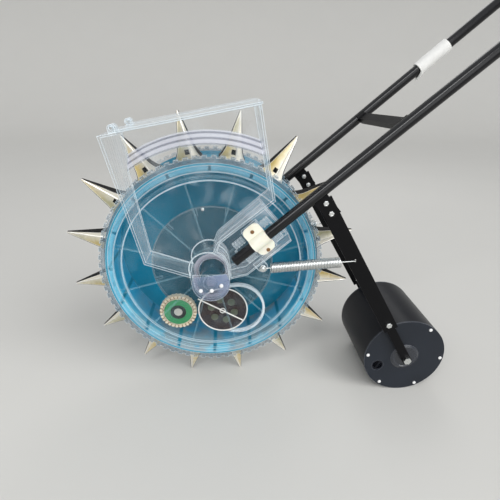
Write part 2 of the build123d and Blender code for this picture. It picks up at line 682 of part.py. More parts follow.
def clamp_screws():
    face = LEDGE_FACE - CLAMP_WALL
    screws = []
    for v in (-CLAMP_SCREW_V, CLAMP_SCREW_V):
        place = on_tube(CLAMP_AT, v)
        head = disc(1.5 * M6_RADIUS, face - M6_RADIUS / 2, face, place)
        screws.append(head + disc(M6_RADIUS, face, LEDGE_FACE, place))
    return screws


def spring():
    """A close-wound spring from the channel's tab to the press arm."""
    hook = on_arm(HOOK_AT)
    run = Vector(hook[0] - SPRING_EYE[0], 0, hook[1] - SPRING_EYE[1])
    along = run.normalized()
    eye = Vector(SPRING_EYE[0], -TUBE_Y, SPRING_EYE[1])

    def rod(start, length, outer, inner=0.0):
        plane = Plane(origin=eye + along * start, x_dir=(0, 1, 0), z_dir=along)
        section = Circle(outer) - Circle(inner) if inner else Circle(outer)
        return extrude(plane * section, amount=length)

    end_wall = 2 * SPRING_WIRE
    coil_end = run.length - SPRING_HOOK
    coil = rod(SPRING_LEAD, coil_end - SPRING_LEAD, SPRING_RADIUS, SPRING_RADIUS - end_wall)
    coil += rod(SPRING_LEAD, end_wall, SPRING_RADIUS)
    coil += rod(coil_end - end_wall, end_wall, SPRING_RADIUS)
    coil += rod(EYE_RADIUS, SPRING_LEAD - EYE_RADIUS, SPRING_WIRE)
    coil += rod(coil_end, SPRING_HOOK, SPRING_WIRE)
    loop = (eye.Y - 1.2 * SPRING_WIRE, eye.Y + 1.2 * SPRING_WIRE)
    coil += ring(EYE_RADIUS + SPRING_WIRE, EYE_RADIUS - SPRING_WIRE, *loop, SPRING_EYE)
    coil += disc(1.2 * SPRING_WIRE, -TUBE_Y - 1.5 * SPRING_WIRE, LUG_FACE + 3 * PLATE_THICK, hook)
    return coil


def roller_barrel():
    inside = ROLLER_HALF - ROLLER_WALL
    barrel = ring(ROLLER_RADIUS, ROLLER_RADIUS - ROLLER_WALL, -inside, inside, (ROLLER_X, roller_z))
    return barrel


def roller_cap():
    """The near end of the roller, with its raised boss and the filler opening."""
    centre = (ROLLER_X, roller_z)
    plug = (ROLLER_X + PLUG_AT[0], roller_z + PLUG_AT[1])
    bore = ROLLER_AXLE_RADIUS + BORE_CLEARANCE
    face = -ROLLER_HALF
    cap = disc(ROLLER_RADIUS, face, face + ROLLER_WALL, centre)
    cap += disc(CAP_BOSS_RADIUS, face - CAP_BOSS_HEIGHT, face, centre)
    cap += disc(CAP_BOSS_RADIUS / 2, face + ROLLER_WALL, face + 5 * ROLLER_WALL, centre)
    cap -= disc(bore, face - 10.0, face + 20.0, centre)
    return cap - disc(PLUG_RADIUS + SEAT_GAP, face - 1.0, face + ROLLER_WALL, plug)


def filler_plug():
    plug = (ROLLER_X + PLUG_AT[0], roller_z + PLUG_AT[1])
    face = -ROLLER_HALF + 1.0
    cup = disc(PLUG_RADIUS, face, face + 3 * ROLLER_WALL, plug)
    return cup - disc(PLUG_RADIUS - 2.0, face - 1.0, face + 2 * ROLLER_WALL, plug)


def roller_axle():
    reach = -LUG_FACE - PLATE_THICK
    centre = (ROLLER_X, roller_z)
    rod = disc(ROLLER_AXLE_RADIUS, -reach, reach, centre)
    for side in (-1, 1):
        ends = sorted((side * (reach - PLATE_THICK), side * (reach + 2.0)))
        rod += slab(Pos(*centre) * RegularPolygon(1.7 * ROLLER_AXLE_RADIUS, 6), *ends)
    return rod


# Spare seed wheels inside the drum
def spare_reach(radius, lift):
    """How far from the drum's axis the centre of a wheel is that lies this much inside the inner ring."""
    return inner_ring_radius - SEAT_GAP - lift - radius


def lying(radius, lift, angle):
    """The centre of such a wheel, at an angle up from the rear."""
    reach = spare_reach(radius, lift)
    return (reach * cos(radians(angle)), reach * sin(radians(angle)))


def spare_wheel(outer, inner):
    near, far = SPARE_WHEEL_SPAN
    centre = lying(SPARE_WHEEL_RADII[0], SPARE_WHEEL_LIFT, SPARE_WHEEL_ANGLE)
    if inner:
        return ring(outer, inner, near, far, centre)
    return disc(outer, near, far, centre)


def spare_disc_angle():
    """The angle at which the disc lies beside the wheel, the gap apart."""
    wheel = spare_reach(SPARE_WHEEL_RADII[0], SPARE_WHEEL_LIFT)
    plate = spare_reach(SPARE_DISC_RADIUS, SPARE_DISC_LIFT)
    apart = SPARE_WHEEL_RADII[0] + SPARE_DISC_RADIUS + SPARE_DISC_GAP
    return SPARE_WHEEL_ANGLE + degrees(acos((wheel**2 + plate**2 - apart**2) / (2 * wheel * plate)))


def spare_disc():
    centre = lying(SPARE_DISC_RADIUS, SPARE_DISC_LIFT, spare_disc_angle())
    radius, height = SPARE_DISC_BOSS
    near, far = SPARE_DISC_SPAN
    return disc(SPARE_DISC_RADIUS, near, far, centre) + disc(radius, near - height, far, centre)


def spare_hoop():
    angle = spare_disc_angle() + SPARE_HOOP_TURN
    return ring(*SPARE_HOOP_RADII, *SPARE_HOOP_SPAN, lying(SPARE_HOOP_RADII[0], SPARE_HOOP_LIFT, angle))


def across(piece):
    return mirror(piece, about=Plane.XZ)


moulding = hopper_moulding()
hub_space = slab(hub_outline(), -far_out, far_out)
near_bolts = frame_bolts()
near_screws = clamp_screws()
radii = SPARE_WHEEL_RADII
parts = {
    "drum_shell": drum_shell(),
    "drum_cover": drum_cover(),
    "drum_rim_near": rim(-1),
    "drum_rim_far": rim(1),
    "metering_disc": metering_disc(),
    "seed_roller": seed_roller(),
    "duckbill_feet": bills(bill_foot()),
    "duckbill_fixed_halves": bills(bill_half(fixed_half, 1)),
    "duckbill_flaps": bills(bill_half(flap_half, -1)),
    "duckbill_edges": bills(bill_back(fixed_half, -1)) + bills(bill_back(flap_half, 1)),
    "spare_wheel_rim": spare_wheel(radii[0], radii[1] + SEAT_GAP),
    "spare_wheel_band": spare_wheel(radii[1], radii[2] + SEAT_GAP),
    "spare_wheel_hub": spare_wheel(radii[2], radii[3] + SEAT_GAP),
    "spare_wheel_pin": spare_wheel(radii[3], 0.0),
    "spare_disc": spare_disc(),
    "spare_hoop": spare_hoop(),
    "drum_axle": disc(AXLE_RADIUS, -AXLE_REACH, AXLE_REACH),
    "hopper": moulding - hub_space + hinge_ears(),
    "hub_near": moulding & hub_space,
    "seed_sleeve": seed_sleeve(),
    "hopper_lid": hopper_lid(),
    "lid_pins": lid_pins(),
    "hub_far": across(hub_far()),
    "channel_near": channel(),
    "channel_far": across(channel()),
    "saddle_clamp_near": saddle_clamp(),
    "saddle_clamp_far": across(saddle_clamp()),
    "clamp_screws": near_screws + [across(screw) for screw in near_screws],
    "handle_tube_near": handle_tube(-TUBE_Y),
    "handle_tube_far": handle_tube(TUBE_Y),
    "grip_near": grip(-TUBE_Y),
    "grip_far": grip(TUBE_Y),
    "tube_sleeve": tube_sleeve(),
    "crossbar": crossbar(),
    "lug_near": lug(),
    "lug_far": across(lug()),
    "arm_near": arm(),
    "arm_far": across(arm()),
    "strap_near": strap(),
    "strap_far": across(strap()),
    "frame_bolts": near_bolts + [across(piece) for piece in near_bolts],
    "spring_near": spring(),
    "spring_far": across(spring()),
    "roller_barrel": roller_barrel(),
    "roller_cap_near": roller_cap(),
    "roller_cap_far": across(roller_cap()),
    "filler_plug": filler_plug(),
    "roller_axle": roller_axle(),
}

# The origin is on the floor, at the centre of the whole machine's length and width
flat = {name: Compound(children=list(p)) if isinstance(p, list) else p for name, p in parts.items()}
boxes = [p.bounding_box() for p in flat.values()]
low = [min(getattr(b.min, k) for b in boxes) for k in "XYZ"]
high = [max(getattr(b.max, k) for b in boxes) for k in "XYZ"]
origin = ((low[0] + high[0]) / 2, (low[1] + high[1]) / 2, low[2])

os.makedirs("parts", exist_ok=True)
for name, piece in flat.items():
    export_step(Pos(-origin[0], -origin[1], -origin[2]) * piece, f"parts/{name}.step")
print("axle at", [round(-v, 3) for v in origin], "size", [round(b - a, 2) for a, b in zip(low, high)])
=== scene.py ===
"""Row seeder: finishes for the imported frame, with the fine pieces that sit on it, laid out as an add-on."""

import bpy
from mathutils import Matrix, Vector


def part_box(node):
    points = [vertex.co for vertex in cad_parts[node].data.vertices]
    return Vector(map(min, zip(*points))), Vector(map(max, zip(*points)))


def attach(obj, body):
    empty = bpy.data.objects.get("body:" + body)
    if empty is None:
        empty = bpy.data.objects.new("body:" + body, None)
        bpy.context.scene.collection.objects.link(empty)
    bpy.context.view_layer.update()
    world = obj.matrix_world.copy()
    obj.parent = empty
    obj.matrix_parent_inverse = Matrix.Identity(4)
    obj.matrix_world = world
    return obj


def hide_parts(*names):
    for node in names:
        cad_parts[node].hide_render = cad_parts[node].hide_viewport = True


bl_info = {
    "name": "Row Seeder",
    "version": (1, 0, 0),
    "blender": (4, 5, 0),
    "location": "View3D > Sidebar > Seeder",
    "description": "Finishes and fine pieces of a hand-pushed duckbill row seeder",
    "category": "Object",
}

from math import atan2, cos, hypot, pi, radians, sin

import bmesh
import bpy
from mathutils import Matrix, Vector

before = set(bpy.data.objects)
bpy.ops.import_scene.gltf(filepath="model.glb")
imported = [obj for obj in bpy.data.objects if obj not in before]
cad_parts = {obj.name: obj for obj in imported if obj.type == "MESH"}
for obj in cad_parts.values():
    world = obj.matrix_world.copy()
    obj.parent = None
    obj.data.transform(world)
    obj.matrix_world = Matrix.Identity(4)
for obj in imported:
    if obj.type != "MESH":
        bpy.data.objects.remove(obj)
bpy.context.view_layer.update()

# Sizes that the frame's own pieces have, in millimetres about the drum's axle: X rearwards, Y across, Z up
axle_low, axle_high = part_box("drum_axle")
AXLE = (axle_low + axle_high) / 2
HANDLE_SLOPE = radians(40.8)
TUBE_Y = 109.0
TUBE_RADIUS = 10.0
CLAMP_AT = 120.0
CLAMP_SCREW_V = 23.0
CLAMP_FACE = 110.0
BEND_AT = 840.0
GRIP_SLOPE = radians(8.0)
GRIP_REACH = 165.0
GRIP_LENGTH = 125.0
GRIP_RADIUS = 15.2
BILL_COUNT = 16
BILL_SEAT = 212.2
TIP_RADIUS = 300.0
BILL_HEIGHT = TIP_RADIUS - BILL_SEAT
BILL_TIP = 0.9
BILL_FOOT = 19.0
BILL_HALVES = (15.0, 2.6)
BILL_JOINT = 7.5
BILL_LEVELS = (4.0, 8.0, 13.0, 18.0, 24.0)
FOOT_SCREWS = tuple((x, y) for x in (-20.5, 20.5) for y in (-17.0, 17.0))
WINDOW_HEIGHT = 13.0
ROLLER_CENTRE = (415.2, -205.748)
ROLLER_HALF = 91.0
CAP_SCREW_CIRCLE = 82.0
CAP_SHOULDER = 31.0
PLUG_AT = (-57.0, -22.0)
LUG_BOLT = (204.86, 149.09)
LUG_PITCH = 22.0
LUG_FACE = 111.0
KNEE_AT = 109.5
HOOK_AT = 280.0
PLATE_THICK = 4.0
SPRING_EYE = (97.0, 22.0)
SPRING_WIRE = 1.25
SPRING_LEAD = 15.0
SPRING_HOOK = 30.0
EYE_RADIUS = 5.5
SPARE_WHEEL_RADII = (38.8, 29.7)
WHEEL_NOTCHES = 28
SPARE_LIP = 2.2
HUB_FACE = 127.0
HUB_PLATE = 1.3
HUB_SCREWS = ((-19.0, -12.0), (1.0, -12.0), (19.0, -2.0))
TUB_RADIUS = 209.2
RIM_BACK = 46.0
SLEEVE_SPAN = (569.0, 640.0)

# Light of the world on matt surfaces, where a strength of one is white
SKY = 0.42


def at(x, y, z):
    """A place in millimetres about the axle, as metres in the frame."""
    return AXLE + Vector((x, y, z)) / 1000.0


def on_tube(s, v):
    """A place in X and Z, s along the handle from the axle and v above it."""
    return (s * cos(HANDLE_SLOPE) - v * sin(HANDLE_SLOPE), s * sin(HANDLE_SLOPE) + v * cos(HANDLE_SLOPE))


ARM_RUN, ARM_RISE = LUG_BOLT[0] - ROLLER_CENTRE[0], LUG_BOLT[1] - ROLLER_CENTRE[1]
ARM_LENGTH = hypot(ARM_RUN, ARM_RISE)


def on_arm(s):
    """A place in X and Z, s along the press arm from the roller's axle."""
    return (ROLLER_CENTRE[0] + s * ARM_RUN / ARM_LENGTH, ROLLER_CENTRE[1] + s * ARM_RISE / ARM_LENGTH)


def linear(hexa):
    """An sRGB hex value as the linear colour that a shader takes."""
    parts = [int(hexa[i:i + 2], 16) / 255.0 for i in (0, 2, 4)]
    parts = [c / 12.92 if c <= 0.04045 else ((c + 0.055) / 1.055) ** 2.4 for c in parts]
    return (*parts, 1.0)


def toned(colour, share, lift=0.0):
    """A linear colour made darker or paler."""
    return (*(min(1.0, c * share + lift) for c in colour[:3]), 1.0)


# What a user may change
def colour(name, text, hexa):
    return bpy.props.FloatVectorProperty(name=name, description=text, default=linear(hexa), size=4,
                                         min=0.0, max=1.0, subtype="COLOR")


def length(name, text, millimetres):
    return bpy.props.FloatProperty(name=name, description=text, default=millimetres / 1000.0,
                                   min=0.0, unit="LENGTH", subtype="DISTANCE")


class SeederColours(bpy.types.PropertyGroup):
    """Colours of the seeder's finishes."""
    clear: colour("Clear plastic", "Body of the clear mouldings", "dce6ec")
    # A painted highlight along the clear mouldings' edges; the hoop also takes it as its body colour
    clear_edge: colour("Clear edges", "Edges of the clear mouldings, where light gathers", "eef8fd")
    # Painted shade: the darker line drawn beside the clear mouldings' edges
    clear_edge_shade: colour("Clear depths", "Beside those edges, where the sheet is seen through its thickness",
                       "607a8c")
    # Painted light: the tub's teal light drawn on the cover's edges, also the cover's body tint
    cover_edge: colour("Cover's edges", "Edges of the drum's clear side, which carry the tub's light",
                       "b9e4f1")
    plate: colour("Milky plate", "Plate on the hub", "8797b6")
    teal: colour("Teal plastic", "Face of the drum's tub", "0a91b1")
    # Pale cyan painted on the panels of the tub's inner wall: painted light, as if through the thin wall
    teal_wall_glow: colour("Teal wall", "Panels inside the tub's wall", "78e0fa")
    smoked: colour("Smoked plastic", "Metering disc", "23424e")
    zinc: colour("Passivated zinc", "Duckbill sheet", "ebe6d8")
    zinc_gold: colour("Yellow passivation", "Hollow of the duckbill sheet", "cdb365")
    enamel: colour("Black enamel", "Handle tubes", "060609")
    powder: colour("Black powder coat", "Arms, straps and lugs", "0a0a0c")
    roller: colour("Black roller", "Press roller", "070a12")
    steel: colour("Bright steel", "Springs, bolts and axle", "e2e4e3")
    nylon: colour("Ivory nylon", "Saddle clamps", "e9e7d8")
    foam: colour("Black foam", "Grips", "19191b")
    cream: colour("Cream plastic", "Rim of the spare seed wheel", "dfd2ba")
    green: colour("Green plastic", "Band of the spare seed wheel", "2f8a55")
    floor: colour("Floor", "Floor and backdrop", "cbcac6")


class SeederSizes(bpy.types.PropertyGroup):
    """Sizes of the fine pieces."""
    spring_pitch: length("Spring pitch", "Distance between the springs' coils", 2.9)
    spring_radius: length("Spring radius", "Outer radius of the springs' coils", 10.3)
    bolt_head: length("Bolt head", "Radius of the M6 bolt heads", 5.0)
    knee_head: length("Knee bolt head", "Radius of the M8 bolt heads", 6.2)
    cap_screw: length("Cap screw head", "Radius of the screws round the roller's caps", 3.6)
    foot_screw: length("Foot screw head", "Radius of the screws in the duckbills' feet", 3.2)
    sheet: length("Duckbill edge", "Thickness of the duckbills' dark edges", 1.5)
    fold: length("Duckbill fold", "Width of the folded border of the duckbills' cheeks", 2.0)
    spare_rod: length("Spare rod", "Radius of the rod that lies in the drum", 1.4)


# Modelling
def clear_selection():
    if bpy.context.object and bpy.context.object.mode != "OBJECT":
        bpy.ops.object.mode_set(mode="OBJECT")
    bpy.ops.object.select_all(action="DESELECT")


def select(*pieces):
    clear_selection()
    for piece in pieces:
        piece.select_set(True)
    bpy.context.view_layer.objects.active = pieces[0]


def applied():
    """The active piece, with its place, turn and scale taken into its mesh."""
    bpy.ops.object.transform_apply(location=True, rotation=True, scale=True)
    return bpy.context.object


def cylinder(radius, low, high, sides=24):
    """A cylinder along Z at the origin, in millimetres, left in object mode."""
    clear_selection()
    bpy.ops.mesh.primitive_cylinder_add(vertices=sides, radius=radius / 1000.0, depth=(high - low) / 1000.0,
                                        location=(0, 0, (low + high) / 2000.0))
    return applied()


def torus(major, minor, rounds, sides, height=0.0, turn=0.0):
    """A torus about Z, in millimetres, at a height and turned about X."""
    clear_selection()
    bpy.ops.mesh.primitive_torus_add(major_radius=major / 1000.0, minor_radius=minor / 1000.0,
                                     major_segments=rounds, minor_segments=sides,
                                     location=(0, 0, height / 1000.0), rotation=(turn, 0, 0))
    return applied()


def edit(piece, kind="FACE"):
    select(piece)
    bpy.ops.object.mode_set(mode="EDIT")
    bpy.ops.mesh.select_mode(type=kind)
    bpy.ops.mesh.select_all(action="DESELECT")


def pick_faces(piece, test):
    """Selects the faces that pass a test of their normal, in edit mode."""
    mesh = bmesh.from_edit_mesh(piece.data)
    for face in mesh.faces:
        face.select_set(test(face.normal))
    mesh.select_flush(False)
    bmesh.update_edit_mesh(piece.data)


def pick_edges(piece, test):
    """Selects the edges whose two ends, in millimetres, pass a test, in edit mode."""
    mesh = bmesh.from_edit_mesh(piece.data)
    for edge in mesh.edges:
        edge.select_set(test(edge.verts[0].co * 1000.0, edge.verts[1].co * 1000.0))
    bmesh.update_edit_mesh(piece.data)


def each_vertex(piece, change):
    """Changes each vertex, in edit mode."""
    mesh = bmesh.from_edit_mesh(piece.data)
    for vertex in mesh.verts:
        change(vertex)
    bmesh.update_edit_mesh(piece.data)


def is_top(normal):
    return normal.z > 0.9


def is_foot(normal):
    return normal.z < -0.9


def is_end(normal):
    return abs(normal.z) > 0.9


def inset_steps(steps, both_ends=False):
    """Insets the selected faces by widths, each with a rise along Z, or outwards at both ends."""
    for width, rise in steps:
        bpy.ops.mesh.inset(thickness=width / 1000.0)
        if both_ends:
            bpy.ops.transform.shrink_fatten(value=rise / 1000.0)
        else:
            bpy.ops.transform.translate(value=(0, 0, rise / 1000.0))


def cut_across(levels):
    """Cuts the mesh square to Z at these levels, in millimetres, in edit mode."""
    for level in levels:
        bpy.ops.mesh.select_all(action="SELECT")
        bpy.ops.mesh.bisect(plane_co=(0, 0, level / 1000.0), plane_no=(0, 0, 1))
    bpy.ops.mesh.select_all(action="DESELECT")


def done(piece):
    bpy.ops.object.mode_set(mode="OBJECT")
    return piece


def modified(piece, kind, **settings):
    """The piece with a modifier of this kind applied."""
    select(piece)
    modifier = piece.modifiers.new(kind.title(), kind)
    for key, value in settings.items():
        setattr(modifier, key, value)
    bpy.ops.object.modifier_apply(modifier=modifier.name)
    return piece


def eased(piece, width=0.4):
    """The piece with its sharp edges rounded."""
    return modified(piece, "BEVEL", width=width / 1000.0, segments=2, limit_method="ANGLE")


def named(piece, name):
    piece.name = piece.data.name = name
    return piece


def joined(name, *pieces):
    select(*pieces)
    if len(pieces) > 1:
        bpy.ops.object.join()
    return named(bpy.context.object, name)


def moved(piece, matrix):
    select(piece)
    piece.matrix_world = matrix
    return applied()


def copies(piece, matrices, name):
    """A copy at each place, each with its own mesh, joined; the one that was modelled goes away."""
    row = []
    for matrix in matrices:
        copy = piece.copy()
        copy.data = piece.data.copy()
        bpy.context.scene.collection.objects.link(copy)
        row.append(moved(copy, matrix))
    bpy.data.objects.remove(piece)
    return joined(name, *row)


def facing(place, direction, spin=0.0):
    """The matrix that puts a piece made along Z at a place in the frame, pointing in a direction."""
    turn = Vector(direction).to_track_quat("Z", "Y").to_matrix().to_4x4()
    return Matrix.Translation(place) @ turn @ Matrix.Rotation(spin, 4, "Z")


def lying_along(place, run):
    """The matrix that lays a piece made along Z on a run square to Y, its own Y kept."""
    across, run = Vector((0, 1, 0)), run.normalized()
    return Matrix.Translation(place) @ Matrix((across.cross(run), across, run)).transposed().to_4x4()


def both_sides(x, y, z, outwards=1, spin=0.0):
    """Places on both sides of the machine, y from its middle, facing outwards or inwards."""
    return [facing(at(x, side * y, z), (0, side * outwards, 0), spin) for side in (-1, 1)]


def round_drum(*spots):
    """Places on each duckbill's seat, for spots along and across the rim."""
    return [Matrix.Translation(AXLE) @ Matrix.Rotation((i + 0.5) * 2 * pi / BILL_COUNT, 4, "Y")
            @ Matrix.Translation(Vector((x, y, BILL_SEAT)) / 1000.0)
            for i in range(BILL_COUNT) for x, y in spots]


def smooth(piece, degrees=35.0):
    select(piece)
    bpy.ops.object.shade_smooth_by_angle(angle=radians(degrees))
    return piece


def outward(piece):
    """Normals worked out again, after doubles are merged."""
    edit(piece, "VERT")
    bpy.ops.mesh.select_all(action="SELECT")
    bpy.ops.mesh.remove_doubles(threshold=0.00001)
    bpy.ops.mesh.normals_make_consistent(inside=False)
    return done(piece)


def finished(piece, body, material, replaces=()):
    """Gives a new piece its finish and the body that it rides on."""
    piece.data.materials.clear()
    piece.data.materials.append(material)
    if replaces:
        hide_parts(*replaces)
    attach(piece, body)
    clear_selection()


# Shader nodes
def add(tree, kind, inputs=None, **settings):
    """A node with its settings; an input is a value or the output that it is linked from."""
    node = tree.nodes.new(kind)
    for key, value in settings.items():
        setattr(node, key, value)
    for key, value in (inputs or {}).items():
        if isinstance(value, bpy.types.NodeSocket):
            tree.links.new(value, node.inputs[key])
        else:
            node.inputs[key].default_value = value
    return node


def new_material(name, **sockets):
    """A material whose shader's own sockets hold what is the same all over."""
    material = bpy.data.materials.new(name)
    material.use_nodes = True
    shader = material.node_tree.nodes["Principled BSDF"]
    for key, value in sockets.items():
        shader.inputs[key.replace("_", " ")].default_value = value
    return material, material.node_tree, shader


def feed(tree, shader, **sockets):
    """Links outputs to the shader's sockets."""
    for key, value in sockets.items():
        tree.links.new(value, shader.inputs[key.replace("_", " ")])


def maths(tree, operation, *values, **settings):
    return add(tree, "ShaderNodeMath", dict(enumerate(values)), operation=operation, **settings).outputs[0]


def vectors(tree, operation, *values):
    node = add(tree, "ShaderNodeVectorMath", dict(enumerate(values)), operation=operation)
    return node.outputs["Value" if operation in ("DOT_PRODUCT", "LENGTH") else "Vector"]


def both(tree, first, *rest):
    """Where all of these are one."""
    for value in rest:
        first = maths(tree, "MULTIPLY", first, value)
    return first


def most(tree, first, *rest):
    """The greatest of these."""
    for value in rest:
        first = maths(tree, "MAXIMUM", first, value)
    return first


def off(tree, value, centre):
    """How far a value is from a centre."""
    return maths(tree, "ABSOLUTE", maths(tree, "SUBTRACT", value, centre))


def ramp(tree, value, low, high, to_low=0.0, to_high=1.0):
    """A value mapped from one range to another and held at its ends."""
    return add(tree, "ShaderNodeMapRange", {"Value": value, "From Min": low, "From Max": high,
                                            "To Min": to_low, "To Max": to_high}).outputs[0]


def part(tree, vector, axis):
    return add(tree, "ShaderNodeSeparateXYZ", {0: vector}).outputs[axis]


def here(tree):
    return add(tree, "ShaderNodeTexCoord").outputs["Object"]


def about_axle(tree):
    """Object coordinates moved to the drum's axle."""
    return vectors(tree, "SUBTRACT", here(tree), AXLE)


def noise(tree, place, scale, detail=2.0, distortion=0.0):
    return add(tree, "ShaderNodeTexNoise", {"Vector": place, "Scale": scale, "Detail": detail,
                                            "Distortion": distortion}).outputs["Fac"]


def two_tone(tree, factor, first, second):
    """A mix of two colours, or of a colour and an output."""
    node = add(tree, "ShaderNodeMix", data_type="RGBA")
    sockets = {s.name: s for s in node.inputs if s.type == "RGBA"}
    for key, value in (("A", first), ("B", second)):
        if isinstance(value, bpy.types.NodeSocket):
            tree.links.new(value, sockets[key])
        else:
            sockets[key].default_value = tuple(value)
    tree.links.new(factor, node.inputs[0])
    return [s for s in node.outputs if s.type == "RGBA"][0]


def grain_bump(tree, shader, scale, strength, detail=2.0, distance=0.0002):
    """A fine unevenness over the whole surface."""
    grain = noise(tree, here(tree), scale, detail)
    bump = add(tree, "ShaderNodeBump", {"Height": grain, "Strength": strength, "Distance": distance})
    feed(tree, shader, Normal=bump.outputs[0])
    return grain


def edge_turn(tree, millimetres):
    """How far the normal turns where edges are rounded in thought: one on faces, less near the edges."""
    straight = add(tree, "ShaderNodeNewGeometry").outputs["Normal"]
    rounded = add(tree, "ShaderNodeBevel", {"Radius": millimetres / 1000.0}, samples=6).outputs[0]
    return maths(tree, "ABSOLUTE", vectors(tree, "DOT_PRODUCT", straight, rounded))


def edge_mask(tree, millimetres):
    """One near the piece's edges and none on its faces."""
    return ramp(tree, edge_turn(tree, millimetres), 0.995, 0.86)


def own_normal(tree):
    """The surface's normal in the piece's own axes, so that a pattern turns with the piece."""
    normal = add(tree, "ShaderNodeNewGeometry").outputs["True Normal"]
    return add(tree, "ShaderNodeVectorTransform", {0: normal}, vector_type="NORMAL", convert_from="WORLD",
               convert_to="OBJECT").outputs[0]


def lean(tree, axis):
    """How squarely the surface faces along one axis."""
    return maths(tree, "ABSOLUTE", part(tree, own_normal(tree), axis))


def bill_share(tree):
    """How far round a place is on its way from one duckbill to the next, none to one."""
    place = about_axle(tree)
    angle = maths(tree, "ARCTAN2", part(tree, place, "Z"), part(tree, place, "X"))
    return maths(tree, "FRACT", maths(tree, "MULTIPLY_ADD", angle, BILL_COUNT / (2 * pi), 100.0))


def about_drum(tree):
    """Radius from the drum's axle, how squarely the surface faces it, and how far round from a duckbill."""
    across_out = vectors(tree, "MULTIPLY", about_axle(tree), (1.0, 0.0, 1.0))
    radius = vectors(tree, "LENGTH", across_out)
    facing_out = vectors(tree, "DOT_PRODUCT", vectors(tree, "NORMALIZE", across_out), own_normal(tree))
    return radius, maths(tree, "ABSOLUTE", facing_out), off(tree, bill_share(tree), 0.5)


# Patterns over the clear mouldings: where they show, how far they are folded, how dense they are, two tones
def step_bands(tree):
    """Where the hopper's cone passes over the drum's rim, its two and a half folds there, drawn as bands of
    painted shade and painted highlight.
    """
    radius, square, _ = about_drum(tree)
    height = part(tree, about_axle(tree), "Z")
    within = both(tree, ramp(tree, square, 0.55, 0.56), ramp(tree, height, 0.12, 0.121),
                  ramp(tree, radius, 0.267, 0.266), ramp(tree, lean(tree, "X"), 0.72, 0.7))
    ripple = maths(tree, "SINE", maths(tree, "MULTIPLY", radius, 2 * pi / 0.0085))
    # The greyish blue is painted shade in the folds, the near white a painted highlight on their crests
    return within, ramp(tree, ripple, -0.85, 0.1), 0.52, linear("7f8496"), linear("dcdde8")


def scuffed(tree):
    """The stretch of the drum that soil has rubbed grey, in patches about 60 mm wide."""
    height = part(tree, about_axle(tree), "Z")
    patches = noise(tree, about_axle(tree), 16.0)
    return both(tree, ramp(tree, height, -0.1, -0.15), ramp(tree, patches, 0.42, 0.54, 0.2, 0.9))


def cover_bands(tree):
    """Three fine raised rings on the drum's clear side, drawn as lines of painted highlight, and a margin in
    panels like the tub's, painted the pale cyan of the tub's lit wall as painted light, grey where scuffed.
    """
    radius, _, distance = about_drum(tree)
    margin = both(tree, ramp(tree, radius, 0.195, 0.197), ramp(tree, distance, 0.48, 0.45), 0.65)
    lines = most(tree, *(ramp(tree, off(tree, radius, centre), width, 0.4 * width)
                         for centre, width in ((0.1778, 0.0015), (0.194, 0.0009), (0.2048, 0.001))))
    # The margin's pale cyan is painted light of the tub's wall behind, grey in the scuffed patches
    tub_glow_and_scuffs = two_tone(tree, scuffed(tree), linear("74d8fb"), linear("bcb3b0"))
    return most(tree, margin, lines), lines, 0.4, tub_glow_and_scuffs, linear("e4f1f8")


def hub_bands(tree):
    """The thick milky end of the hub's wall, behind its window."""
    radius = about_drum(tree)[0]
    depth = part(tree, about_axle(tree), "Y")
    within = both(tree, ramp(tree, lean(tree, "Y"), 0.88, 0.9), ramp(tree, radius, 0.0262, 0.0268),
                  ramp(tree, radius, 0.0362, 0.0358), ramp(tree, depth, -0.116, -0.115),
                  ramp(tree, depth, 0.0, -0.001))
    return within, ramp(tree, radius, 0.026, 0.034), 0.45, linear("8f8b9c"), linear("cdcbd8")


# Materials
def clear_moulding(name, colours, face_alpha, graze_alpha, edge_alpha, edge_width, border, haze=0.0,
                   body=None, edge=None, folds=None):
    """Clear injection-moulded polycarbonate: faces that hardly show, whitish walls seen along their length,
    and edges painted bright as a painted highlight of the light that the sheet carries, each with a line of
    painted shade beside it."""
    material, tree, shader = new_material(name, Roughness=0.1, IOR=1.585)
    # The width stays under the sheet's 2.5 to 3 mm, so that one face's edge doesn't answer to the other face
    turn = edge_turn(tree, edge_width)
    beside = ramp(tree, turn, 0.998, 0.985)
    edge_highlight = ramp(tree, turn, 0.975, 0.86)
    graze = add(tree, "ShaderNodeLayerWeight", {"Blend": 0.3}).outputs["Facing"]
    walls = ramp(tree, maths(tree, "POWER", graze, 2.8), 0.0, 1.0, face_alpha, graze_alpha)
    # Flow marks of the moulding, 9 mm wide across the machine and long beside it, and rubbed patches of 90 mm
    place = here(tree)
    drawn = vectors(tree, "MULTIPLY", place, (0.2, 3.3, 0.2))
    flow = ramp(tree, noise(tree, drawn, 33.0, 3.0, 0.3), 0.42, 0.6, 0.5, 1.8)
    rubbed = ramp(tree, noise(tree, place, 11.0, 4.0, 1.2), 0.5, 0.72, 0.0, haze)
    veil = maths(tree, "ADD", both(tree, walls, flow), rubbed)
    outline = most(tree, both(tree, beside, border), both(tree, edge_highlight, edge_alpha))
    alpha = maths(tree, "MAXIMUM", veil, outline, use_clamp=True)
    # The line beside the edges is painted shade, the bright edges a painted highlight
    sheet = two_tone(tree, beside, body or colours.clear, colours.clear_edge_shade)
    tone = two_tone(tree, edge_highlight, sheet, edge or colours.clear_edge)
    if folds:
        within, fold, strength, darker_tone, paler_tone = folds(tree)
        alpha = most(tree, alpha, both(tree, within, strength))
        tone = two_tone(tree, within, tone, two_tone(tree, fold, darker_tone, paler_tone))
    feed(tree, shader, Base_Color=tone, Alpha=alpha)
    return material


